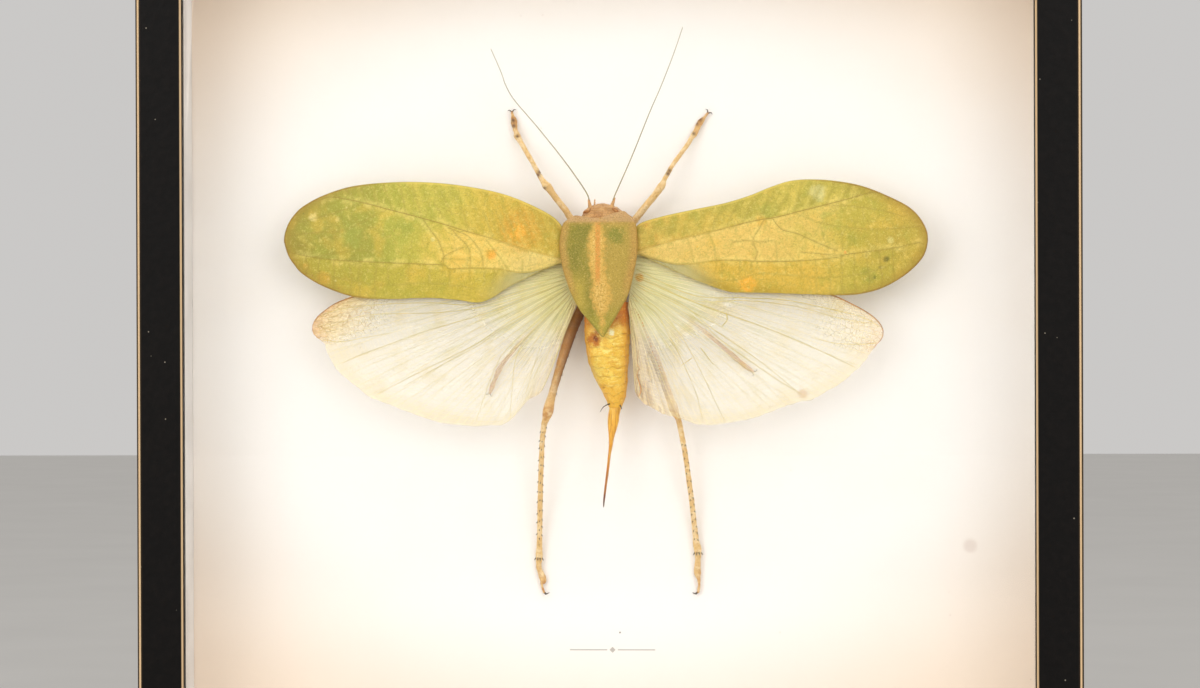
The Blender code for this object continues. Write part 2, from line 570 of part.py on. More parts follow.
def antenna(name, parent, skin):
    """A long thread that tapers to its tip."""
    count = 18
    path = smooth_line(ANTENNAE[name], count)
    sizes = []
    for i in range(count):
        sizes.append(2 * (ANTENNA_BASE + (ANTENNA_TIP - ANTENNA_BASE) * i / (count - 1)))
    bm = bmesh.new()
    grow(bm, limb_rings(path, sizes, sizes, 5))
    return finish(bm, name, parent, skin, crease=80)


def claws(foot, heading, parent, skin):
    """Two small hooks that splay from the end of a foot."""
    made = []
    side = heading.cross(Vector((0, 1, 0))).normalized()
    for way in (-1, 1):
        bend = foot + heading * CLAW_LENGTH * 0.4 + side * way * CLAW_SPREAD * 0.6
        tip = foot + heading * CLAW_LENGTH * 0.5 + side * way * CLAW_SPREAD
        path = smooth_line([foot - heading * 0.8, bend, tip], 5)
        sizes = [0.9, 0.8, 0.7, 0.5, 0.3]
        bm = bmesh.new()
        grow(bm, limb_rings(path, sizes, sizes, 6))
        made.append(finish(bm, "claw", parent, skin))
    return made


def leg(name, parent, skin):
    """A leg from hip to claws; a hind leg's shin carries rows of spines."""
    stations = [Vector(station[:3]) for station in LEGS[name]]
    reach = [0.0]
    for before, after in zip(stations, stations[1:]):
        reach.append(reach[-1] + (after - before).length)
    dense = smooth_line(stations, 400)
    travelled = [0.0]
    for before, after in zip(dense, dense[1:]):
        travelled.append(travelled[-1] + (after - before).length)
    stretch = reach[-1] / travelled[-1]

    low, high, pitch, length = SPINES.get(name, (0.0, 0.0, 1.0, 0.0))
    stops = list(reach)
    feet = []
    if length:
        shin = [run * stretch for run, point in zip(travelled, dense) if low < point.z < high]
        feet = [shin[0] + pitch * i for i in range(int((shin[-1] - shin[0]) / pitch) + 1)]
        stops = [stop for stop in stops if not shin[0] - 1 < stop < feet[-1] + SPINE_FOOT + 1]
        stops += feet + [foot + SPINE_FOOT for foot in feet]
        stops.sort()

    path, widths, depths = [], [], []
    for stop in stops:
        k = min(range(len(dense)), key=lambda i: abs(travelled[i] * stretch - stop))
        path.append(dense[k])
        j = max(i for i in range(len(reach) - 1) if reach[i] <= stop or i == 0)
        t = min(1.0, (stop - reach[j]) / (reach[j + 1] - reach[j]))
        widths.append(LEGS[name][j][3] * (1 - t) + LEGS[name][j + 1][3] * t)
        depths.append(LEGS[name][j][4] * (1 - t) + LEGS[name][j + 1][4] * t)

    bm = bmesh.new()
    bands = grow(bm, limb_rings(path, widths, depths, 8))
    for number, foot in enumerate(feet):
        band = bands[stops.index(foot)]
        rows = (2, 7) if number % 2 else (0, 5)
        bmesh.ops.poke(bm, faces=[band[row] for row in rows], offset=length * MM)
    made = finish(bm, name, parent, skin)
    heading = (path[-1] - path[-2]).normalized()
    fuse(made, claws(path[-1], heading, parent, skin))
    return made


def sheet(name, front_edge, back_edge, height, columns, thick, parent, skin):
    """A thin closed sheet between two edges; height gives its y at any share of span and chord."""
    rows = len(front_edge)
    bm = bmesh.new()
    grid = []
    for i in range(rows):
        row = []
        for j in range(columns + 1):
            s = i / (rows - 1)
            t = j / columns
            x, z = front_edge[i].lerp(back_edge[i], t)
            row.append(bm.verts.new(Vector((x, height(s, t), z)) * MM))
        grid.append(row)
    for i in range(rows - 1):
        for j in range(columns):
            bm.faces.new((grid[i][j], grid[i + 1][j], grid[i + 1][j + 1], grid[i][j + 1]))
    bmesh.ops.remove_doubles(bm, verts=bm.verts, dist=0.01 * MM)
    grown = bmesh.ops.extrude_face_region(bm, geom=bm.faces[:], use_keep_orig=True)
    lifted = [item for item in grown["geom"] if isinstance(item, bmesh.types.BMVert)]
    bmesh.ops.translate(bm, verts=lifted, vec=(0, thick * MM, 0))
    return finish(bm, name, parent, skin, crease=60)


def forewing(name, parent, skin):
    """A leathery front wing that bows towards the glass."""
    lead, trail = FOREWINGS[name]

    def height(s, t):
        level = FOREWING_ROOT_Y + (FOREWING_TIP_Y - FOREWING_ROOT_Y) * s
        swell = math.sin(math.pi * min(1.0, 0.12 + 0.88 * s)) ** 0.5 if s < 1 else 0.0
        return level - FOREWING_CAMBER * swell * (1 - (2 * t - 1) ** 2)

    spans = FOREWING_SPANS
    return sheet(name, smooth_line(lead, spans), smooth_line(trail, spans), height, FOREWING_CHORDS,
                 FOREWING_THICK, parent, skin)


def hindwing(name, parent, skin):
    """A fan that is pleated from its root and flat at its margin."""
    hub, margin = HINDWINGS[name]
    folds = 2 * HINDWING_PLEATS + 1

    def height(s, t):
        lift = HINDWING_LIFT * s * min(1.0, 1.6 * t)
        zigzag = 1 if round(s * (folds - 1)) % 2 else -1
        fold = PLEAT_DEPTH * zigzag * math.sin(math.pi * min(1.0, t + 0.08)) if t < 1 else 0.0
        return HINDWING_Y - lift + fold

    return sheet(name, smooth_line(hub, folds), smooth_line(margin, folds), height, HINDWING_STEPS,
                 HINDWING_THICK, parent, skin)


def build_insect(parent):
    green = material("sage_green_shield", (0.42, 0.45, 0.16), 0.6)
    leaf = material("leaf_green_wing", (0.52, 0.50, 0.14), 0.55)
    veil = material("cream_wing_veil", (0.86, 0.83, 0.60), 0.5)
    amber = material("amber_abdomen", (0.72, 0.46, 0.12), 0.45)
    tan = material("tan_leg", (0.55, 0.36, 0.16), 0.5)
    brown = material("brown_head", (0.42, 0.26, 0.13), 0.5)
    foam = material("white_foam", (0.85, 0.84, 0.80), 0.9)

    block("mounting_pad", Vector(PAD_LOW) * MM, Vector(PAD_HIGH) * MM, parent, foam, soften=0.8 * MM)
    head(parent, brown)
    pronotum(parent, green)
    bm = bmesh.new()
    grow(bm, body_rings(THORAX, 16))
    finish(bm, "thorax", parent, brown)
    abdomen(parent, amber)
    bm = bmesh.new()
    grow(bm, body_rings(OVIPOSITOR, 8))
    finish(bm, "ovipositor", parent, amber)
    for name in ANTENNAE:
        antenna(name, parent, tan)
    for name in FOREWINGS:
        forewing(name, parent, leaf)
    for name in HINDWINGS:
        hindwing(name, parent, veil)
    for name in LEGS:
        leg(name, parent, tan)


def empty(name, place):
    made = bpy.data.objects.new(name, None)
    made.location = place
    bpy.context.scene.collection.objects.link(made)
    return made


def main():
    for old in list(bpy.data.objects):
        bpy.data.objects.remove(old)
    build_frame(empty("box_frame", (0, 0, FRAME_SIDE / 2)))
    build_insect(empty("katydid", (INSECT_X, 0, INSECT_Z)))


main()
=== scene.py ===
import math

import bmesh
import bpy
from mathutils import Matrix, Vector, kdtree, noise
from mathutils.bvhtree import BVHTree


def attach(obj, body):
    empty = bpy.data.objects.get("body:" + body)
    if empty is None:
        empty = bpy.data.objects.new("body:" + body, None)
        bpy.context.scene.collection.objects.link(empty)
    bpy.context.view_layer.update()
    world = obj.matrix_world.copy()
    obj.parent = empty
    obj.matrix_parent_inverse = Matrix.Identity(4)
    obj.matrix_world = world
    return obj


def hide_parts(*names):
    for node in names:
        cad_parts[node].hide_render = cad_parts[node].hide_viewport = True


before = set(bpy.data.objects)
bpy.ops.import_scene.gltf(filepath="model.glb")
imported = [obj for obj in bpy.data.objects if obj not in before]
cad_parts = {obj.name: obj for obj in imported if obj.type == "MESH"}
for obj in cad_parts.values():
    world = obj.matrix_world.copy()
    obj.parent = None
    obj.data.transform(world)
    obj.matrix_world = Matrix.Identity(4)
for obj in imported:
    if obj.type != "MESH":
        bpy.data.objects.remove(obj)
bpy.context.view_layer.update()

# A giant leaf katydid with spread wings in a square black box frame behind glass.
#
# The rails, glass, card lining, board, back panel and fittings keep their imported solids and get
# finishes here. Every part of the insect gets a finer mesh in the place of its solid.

MM = 0.001
FRAME_HALF = 183.0           # half the frame's outer width, mm

# The insect's own millimetres: x to the right, y from the glass to the board, z towards the head
INSECT_AT = (-3.5, 0.0, 206.0)
INSECT = Matrix.Scale(MM, 4) @ Matrix.Translation(INSECT_AT)
TO_BOARD = Vector((0, 1, 0))

# Pronotum shield: z, left rim, right rim, crest y, rim y
SHIELD = [
    (31.4, -12.4, 12.8, -7.8, -4.2), (29.6, -14.3, 14.2, -8.9, -4.6), (26.0, -15.2, 14.8, -10.0, -5.1),
    (21.4, -15.7, 15.0, -10.5, -5.6), (16.5, -15.2, 14.7, -10.7, -6.0), (10.6, -14.0, 13.6, -10.7, -6.5),
    (2.3, -11.1, 11.5, -10.2, -6.8), (-4.1, -7.7, 8.1, -9.4, -6.9), (-8.0, -4.5, 5.8, -8.8, -6.9),
    (-12.0, -1.3, 3.3, -8.1, -6.8), (-14.7, 0.9, 1.8, -7.5, -6.7),
]
SHIELD_EDGE = 1.0            # thickness of the free rim
# How far its front edge juts at even steps from left to right, and how far back that is felt
SHIELD_BROW = [0.2, 1.5, 1.1, 0.5, 0.5, 1.3, 2.6, 3.1, 0.9]
BROW_DEPTH = 2.4
# The side lobes stand in to this share of the half width and reach down to this y
LOBE_WAIST = 0.70
LOBE_BOTTOM = 3.0
# The chest under the shield: its lowest y, its half width and the z where it ends
CHEST_BOTTOM = 9.0
CHEST_HALF = 8.0
CHEST_END = 18.2

# Thorax, abdomen and ovipositor rings: z, middle x, half width, middle y, half depth
THORAX = [
    (17.4, 0.2, 8.6, 3.4, 6.2), (15.0, 0.2, 10.2, 3.3, 7.2), (9.0, 0.2, 10.6, 3.2, 7.6),
    (3.0, 0.6, 10.0, 3.2, 7.6), (-2.0, 1.2, 8.8, 3.4, 7.4), (-4.8, 1.7, 7.4, 3.6, 6.8),
]
ABDOMEN = [
    (-1.0, 2.6, 8.3, 4.0, 6.4), (-5.4, 2.4, 8.7, 3.8, 7.0), (-10.5, 2.4, 9.0, 3.8, 7.6),
    (-15.5, 2.6, 8.9, 3.9, 7.9), (-20.0, 2.7, 8.5, 4.1, 7.7), (-24.5, 3.0, 8.0, 4.3, 7.3),
    (-28.5, 3.5, 7.1, 4.6, 6.7), (-32.5, 4.3, 6.1, 4.9, 6.0), (-36.2, 5.1, 4.9, 5.2, 5.0),
    (-39.8, 5.6, 3.6, 5.5, 3.9), (-42.6, 5.5, 2.5, 5.7, 3.0),
]
# Plates of the abdomen end at these heights, and their edges sag in the middle
RING_EDGES = [-9.0, -13.0, -17.2, -21.4, -25.5, -28.8, -32.3, -35.8, -38.9]
RING_SAG = 1.5
# The pair of soft feelers at the abdomen's end
CERCI = {
    "cercus_left": [(3.6, 3.2, -41.0), (2.4, 2.2, -41.5), (1.0, 1.6, -42.3), (-0.3, 1.2, -44.2)],
    "cercus_right": [(7.0, 3.4, -41.0), (7.9, 2.8, -42.4), (8.2, 2.5, -43.2)],
}
OVIPOSITOR = [
    (-41.6, 5.5, 2.2, 5.8, 2.5), (-43.0, 5.4, 2.4, 5.7, 2.7), (-45.5, 4.9, 2.35, 5.6, 2.7),
    (-48.7, 4.6, 2.2, 5.4, 2.6), (-51.5, 4.3, 1.7, 5.2, 2.5), (-54.0, 4.0, 1.2, 5.0, 2.4),
    (-57.9, 3.65, 0.8, 4.7, 2.2), (-61.8, 3.1, 0.6, 4.3, 2.0), (-67.7, 2.45, 0.54, 3.6, 1.6),
    (-73.6, 1.7, 0.48, 2.8, 1.2), (-78.0, 1.2, 0.4, 2.2, 0.8), (-81.0, 0.95, 0.24, 1.8, 0.35),
    (-81.8, 0.9, 0.1, 1.7, 0.15),
]

# Head: an egg cut off flat at its neck. Sockets and palps are x, y, z and width along them.
HEAD_MIDDLE = (1.0, 4.0, 31.6)
HEAD_RADII = (8.6, 8.4, 6.2)
HEAD_CUT = 30.6
EYES = [(-5.0, -1.5, 34.8), (6.4, -1.5, 35.0)]
EYE_RADIUS, EYE_SHAPE, EYE_LEAN = 1.55, (1.1, 0.85, 0.5), 28
SOCKETS = [
    [(-3.7, 0.6, 35.2, 1.8), (-4.0, 0.4, 36.9, 1.5), (-4.3, 0.2, 38.6, 1.0), (-4.4, 0.1, 39.6, 0.7)],
    [(4.4, 0.6, 35.2, 1.8), (4.7, 0.4, 36.9, 1.5), (5.4, 0.2, 38.8, 1.0), (5.9, 0.1, 40.1, 0.7)],
]
PALPS = [
    [(-2.4, 5.0, 35.6, 0.8), (-2.4, 5.4, 37.4, 0.7), (-2.3, 5.2, 39.6, 0.5)],
    [(3.6, 9.2, 36.0, 1.1), (4.6, 10.6, 38.0, 1.1), (4.4, 11.6, 39.2, 0.8)],
]

ANTENNA_ROOT, ANTENNA_TIP = 0.22, 0.11       # half widths
ANTENNAE = {
    "antenna_left": [
        (-4.0, 0.1, 38.0), (-5.3, 0.0, 42.0), (-11.0, 0.6, 50.5), (-17.0, 1.6, 58.5),
        (-25.5, 3.0, 69.0), (-34.0, 5.0, 79.0), (-37.5, 6.0, 85.0), (-39.5, 7.0, 90.5),
        (-43.5, 8.5, 99.5),
    ],
    "antenna_right": [
        (5.0, 0.1, 38.2), (5.9, 0.0, 41.0), (12.5, 1.0, 56.0), (19.5, 3.0, 73.5),
        (24.0, 4.6, 84.0), (29.0, 6.6, 97.0), (32.5, 8.5, 107.5),
    ],
}

# Forewings: leading and trailing edges from the root to the tip, and the veins on them.
# "main" and "second" are its two long veins, "side" has the strong branches with their half
# widths, "cross" the faint ones. Rungs are rows of cross veins: start, stop and pitch along x.
FOREWINGS = {
    "forewing_left": {
        "lead": [
            (-11.6, 18.6), (-13.8, 26.0), (-16.5, 30.6), (-22.0, 34.6), (-34.5, 40.3), (-47.5, 43.7),
            (-64.0, 46.0), (-80.5, 46.4), (-97.0, 45.0), (-109.0, 41.4), (-117.0, 37.2),
            (-120.7, 33.8), (-123.0, 30.4), (-124.4, 26.6), (-124.8, 23.6)],
        "trail": [
            (-11.6, 13.6), (-16.0, 14.3), (-30.5, 8.0), (-37.0, 4.6), (-42.5, 1.0), (-48.0, -0.9),
            (-56.5, 0.2), (-68.0, 1.0), (-84.5, 0.6), (-97.5, 1.6), (-109.5, 5.8), (-117.5, 10.6),
            (-120.8, 14.3), (-122.9, 17.4), (-124.2, 21.0), (-124.8, 23.6)],
        "main": [
            (-12.4, 15.4), (-27.9, 19.3), (-39.2, 23.1), (-53.5, 27.3), (-60.3, 29.5), (-73.1, 33.1),
            (-83.7, 35.9), (-93.5, 38.5), (-106.0, 40.8), (-112.0, 39.2)],
        "second": [
            (-14.0, 14.4), (-29.4, 10.7), (-39.2, 12.1), (-50.7, 12.6), (-58.9, 12.3), (-61.3, 13.8),
            (-70.8, 14.2), (-90.1, 15.1), (-108.7, 16.4), (-121.0, 18.6)],
        "side": [
            (0.22, [(-59.4, 28.4), (-52.1, 25.3), (-48.8, 21.9), (-46.5, 18.5), (-45.7, 12.6)]),
            (0.16, [(-44.6, 23.6), (-41.5, 19.6), (-39.2, 16.8), (-36.4, 12.4)]),
            (0.16, [(-57.6, 27.4), (-55.5, 24.7), (-53.6, 23.0), (-51.0, 19.1), (-50.8, 12.8)]),
            (0.14, [(-62.3, 14.9), (-60.9, 17.2), (-57.5, 19.1), (-53.8, 20.5)]),
            (0.14, [(-69.3, 31.5), (-65.9, 26.7), (-63.1, 22.8), (-61.4, 18.0), (-61.6, 14.2)]),
        ],
        "cross": [
            [(-83.7, 35.9), (-94.2, 30.4), (-102.1, 27.4), (-111.1, 26.9), (-123.0, 25.6)],
            [(-93.5, 38.5), (-104.0, 34.6), (-117.9, 31.0)],
            [(-85.2, 18.7), (-94.2, 19.6), (-103.2, 18.8), (-112.9, 17.1)],
            [(-48.3, 4.2), (-57.8, 5.9), (-68.8, 6.8), (-85.2, 6.0), (-98.0, 7.8), (-112.0, 11.0)],
            [(-61.7, 16.3), (-51.0, 15.7)], [(-66.6, 13.0), (-67.4, 6.8)], [(-58.9, 11.3), (-59.2, 7.3)],
            [(-51.1, 12.3), (-51.1, 7.3)], [(-44.9, 11.2), (-45.7, 6.1)], [(-41.2, 11.2), (-42.1, 6.7)],
            [(-30.2, 15.6), (-30.5, 11.1)], [(-45.9, 34.8), (-44.0, 30.3), (-41.9, 24.9)],
            [(-39.7, 33.0), (-37.5, 27.4)], [(-35.2, 31.3), (-33.8, 27.4)],
            [(-54.4, 35.9), (-51.3, 28.1)], [(-61.1, 39.9), (-58.0, 33.7)],
            [(-65.1, 38.2), (-61.4, 32.6)], [(-115.7, 21.8), (-123.0, 21.4)],
            [(-75.0, 16.1), (-75.3, 9.9)], [(-82.9, 14.4), (-83.5, 10.0), (-82.9, 6.6)],
        ],
        "low_rungs": (-89.0, -117.0, 5.4),
        "costal_rungs": (-70.0, -114.0, 5.4),
    },
    "forewing_right": {
        "lead": [
            (11.6, 18.6), (13.2, 25.0), (15.5, 29.4), (24.5, 32.3), (37.0, 35.0), (49.0, 37.4),
            (59.0, 40.4), (67.5, 43.8), (76.0, 46.2), (87.0, 46.4), (98.5, 44.9), (107.5, 42.2),
            (118.0, 37.4), (123.0, 33.9), (126.3, 29.7), (128.0, 25.8), (128.3, 22.6)],
        "trail": [
            (11.6, 13.8), (15.0, 17.6), (32.5, 9.8), (49.0, 3.4), (57.0, 2.6), (66.0, 2.4),
            (82.0, 1.8), (97.0, 1.4), (106.5, 2.8), (114.0, 5.8), (121.0, 10.4), (125.7, 15.2),
            (127.7, 19.1), (128.3, 22.6)],
        "main": [
            (12.6, 18.2), (27.2, 22.4), (44.7, 26.5), (59.2, 30.2), (69.8, 32.0), (78.9, 34.3),
            (88.0, 36.5), (97.9, 39.1), (105.5, 41.3), (109.0, 41.2)],
        "second": [
            (16.0, 17.4), (30.9, 13.6), (44.7, 15.0), (54.6, 15.0), (66.7, 14.5), (80.4, 14.9),
            (91.7, 15.9), (97.9, 17.4), (113.0, 19.3), (125.0, 21.8)],
        "side": [
            (0.2, [(67.5, 31.6), (71.2, 27.2), (77.3, 25.4), (84.6, 22.1), (92.9, 18.6)]),
            (0.15, [(60.6, 14.9), (61.7, 18.3), (60.0, 22.7), (62.6, 27.5), (64.5, 31.0)]),
            (0.13, [(79.0, 18.2), (92.9, 16.9), (98.5, 17.4)]),
            (0.12, [(52.2, 22.2), (57.8, 22.8), (62.3, 22.2), (67.8, 22.7)]),
        ],
        "cross": [
            [(76.0, 33.6), (87.4, 29.3), (98.5, 27.6), (109.6, 27.0), (125.2, 28.0)],
            [(88.0, 36.5), (98.5, 36.0), (110.8, 34.2), (118.6, 31.9)],
            [(32.6, 13.9), (38.7, 9.4), (45.4, 7.2), (54.4, 7.7), (62.2, 9.9), (73.4, 9.3),
             (90.0, 8.2), (104.0, 10.0), (115.0, 13.4)],
            [(34.0, 24.0), (35.4, 21.2), (36.8, 14.6)], [(43.0, 26.0), (45.2, 18.9), (45.5, 15.0)],
            [(44.4, 26.7), (45.5, 31.2), (47.8, 34.0)], [(50.0, 28.4), (51.1, 31.7), (53.6, 35.9)],
            [(56.1, 30.1), (59.5, 36.7), (61.2, 38.9)], [(62.8, 31.7), (65.1, 36.1), (67.9, 40.0)],
            [(68.4, 32.5), (70.7, 36.7), (73.5, 40.0)], [(68.7, 22.6), (69.5, 17.1), (69.5, 14.9)],
            [(55.0, 14.4), (54.7, 8.2)], [(59.4, 14.4), (59.4, 9.9)], [(72.9, 14.3), (72.8, 9.6)],
            [(48.0, 14.4), (47.7, 9.4)], [(78.7, 14.3), (78.9, 7.6)], [(86.8, 27.6), (87.6, 23.7)],
            [(94.6, 26.5), (95.1, 19.2)], [(83.5, 37.1), (85.2, 41.0), (86.9, 44.4)],
            [(104.1, 39.8), (106.3, 41.6)],
        ],
        "low_rungs": (85.0, 119.0, 5.0),
        "costal_rungs": (76.0, 112.0, 6.0),
    },
}
FOREWING_THICK = 0.35
FOREWING_ROOT_Y = -2.2
FOREWING_TIP_Y = -1.6
FOREWING_CAMBER = 2.6        # how far its middle arches towards the glass

# Hind wings: the hub that the veins spread from, then the margin from the front edge round the
# tip to the inner edge
HINDWINGS = {
    "hindwing_left": (
        [(-12.0, 16.6), (-11.8, 8.5), (-10.8, 2.0), (-9.4, -2.0)],
        [(-36.0, 14.6), (-64.0, 9.0), (-88.0, 4.4), (-103.0, -0.4), (-109.0, -4.0), (-112.6, -7.2),
         (-113.9, -10.6), (-113.4, -13.2), (-111.6, -15.0), (-109.4, -16.6), (-108.2, -20.0),
         (-104.4, -26.8), (-98.0, -33.0), (-89.5, -38.6), (-79.5, -42.4), (-67.0, -47.2),
         (-56.0, -49.0), (-43.5, -49.6), (-36.8, -48.2), (-32.0, -43.6), (-28.8, -39.6),
         (-23.6, -36.6), (-19.4, -28.0), (-15.4, -17.0)],
    ),
    "hindwing_right": (
        [(12.4, 18.4), (12.4, 9.0), (11.6, 3.0), (10.8, -3.0)],
        [(40.0, 15.0), (68.0, 8.0), (88.0, 2.4), (97.5, -1.6), (105.4, -6.0), (109.4, -9.6),
         (110.9, -13.0), (110.2, -15.9), (108.2, -18.0), (105.6, -22.0), (101.6, -26.8),
         (94.5, -32.8), (84.0, -38.8), (73.5, -41.8), (61.5, -46.2), (50.0, -48.6), (40.5, -49.2),
         (32.5, -47.4), (24.0, -44.6), (17.8, -41.4), (13.6, -36.4), (14.6, -28.0), (13.6, -16.0)],
    ),
}
# Long veins of the hind wings that stand out: their routes, and their half width at the two ends
HINDWING_VEINS = {
    "hindwing_left": [
        ([(-14.0, 10.0), (-46.1, -1.2), (-67.3, -1.0), (-88.5, -1.7), (-104.1, -3.7), (-112.7, -7.2)],
         0.2, 0.1),
        ([(-14.0, 8.0), (-36.0, -0.6), (-60.2, -4.6), (-77.2, -5.2), (-93.5, -5.9), (-106.3, -10.1),
          (-111.6, -12.3)], 0.17, 0.09),
        ([(-14.0, 7.0), (-35.5, -1.9), (-49.7, -6.7), (-67.3, -11.6), (-77.3, -15.1), (-93.6, -21.0),
          (-102.0, -24.6)], 0.18, 0.07),
        ([(-13.0, 5.0), (-28.5, -4.7), (-37.0, -9.2), (-49.0, -17.3), (-67.4, -26.4), (-77.3, -31.3),
          (-88.0, -37.0)], 0.2, 0.07),
        ([(-13.0, 4.0), (-29.2, -6.1), (-39.1, -11.7), (-49.0, -18.4), (-60.3, -24.3), (-78.0, -34.0)],
         0.16, 0.06),
        ([(-12.0, 2.0), (-24.0, -8.0), (-37.0, -19.4), (-42.0, -27.9), (-46.2, -39.1), (-49.1, -47.6)],
         0.16, 0.06),
        ([(-12.0, 1.0), (-22.9, -8.2), (-29.2, -15.3), (-33.5, -23.7), (-34.9, -36.3), (-35.7, -46.6)],
         0.16, 0.06),
        ([(-11.0, 0.0), (-17.9, -8.3), (-22.2, -15.3), (-25.7, -24.4), (-29.3, -36.4)], 0.14, 0.06),
        ([(-83.6, -13.0), (-93.5, -14.7), (-102.8, -16.3), (-109.3, -15.6)], 0.07, 0.14),
    ],
    "hindwing_right": [
        ([(14.0, 12.0), (36.3, 1.6), (56.2, 0.5), (73.4, -0.6), (89.3, -3.9), (102.5, -7.3),
          (109.4, -11.0)], 0.22, 0.14),
        ([(14.0, 10.0), (36.3, -0.4), (56.2, -0.6), (76.0, -2.8), (92.6, -7.3), (106.8, -10.0)],
         0.18, 0.1),
        ([(14.0, 9.0), (31.6, 0.9), (49.5, -5.8), (62.8, -10.5), (76.0, -15.8), (89.2, -21.8),
          (100.0, -27.0)], 0.26, 0.08),
        ([(14.0, 6.0), (31.6, -1.7), (44.2, -11.7), (56.1, -19.7), (66.0, -27.1), (78.0, -37.0)],
         0.2, 0.08),
        ([(14.0, 5.0), (31.6, -3.0), (49.5, -17.7), (69.3, -31.7), (75.9, -35.7)], 0.16, 0.07),
        ([(13.0, 2.0), (23.0, -4.0), (31.6, -14.3), (38.8, -27.0), (45.4, -40.9), (48.7, -47.6)],
         0.16, 0.07),
        ([(13.0, 0.0), (21.7, -5.0), (26.3, -13.0), (32.2, -24.3), (37.5, -36.9), (40.0, -47.0)],
         0.16, 0.07),
        ([(82.6, -15.2), (92.5, -17.5), (102.4, -17.9), (108.2, -17.4)], 0.08, 0.16),
        ([(39.5, -19.2), (44.2, -25.5)], 0.22, 0.1),
        ([(36.0, -23.1), (32.0, -25.8)], 0.2, 0.1),
        ([(49.4, -5.5), (49.8, -8.2), (47.8, -10.6)], 0.3, 0.16),
    ],
}
# Dark lines on the right hind wing, with half widths: its wavy inner margin and a beaded fold
MARGIN_LINE = ([(15.0, -19.9), (14.5, -25.3), (15.4, -27.0), (14.3, -29.7), (15.1, -32.2),
                (15.9, -35.1), (15.6, -37.1), (14.6, -38.3)], 0.1, 0.3)
BEAD_LINE = ([(13.1, -3.2), (15.1, -6.6), (16.3, -9.1), (17.5, -12.5), (18.7, -15.0), (19.7, -17.5),
              (20.4, -20.4), (22.9, -25.8), (23.9, -29.8)], 0.5, 0.2)
HINDWING_THICK = 0.14
HINDWING_Y = 0.6
HINDWING_LIFT = 1.6          # the inner part rides this much nearer the glass
PLEATS = 18
PLEAT_DEPTH = 0.34
# The bound tip of the margin, as shares of the turn from the front edge to the inner edge
TIP_START, TIP_END = 0.1, 0.41
# Its fine veins: how many run out from the root, and how far apart the cross veins are
FAN_VEINS = PLEATS * 2
CROSS_PITCH = 1.7

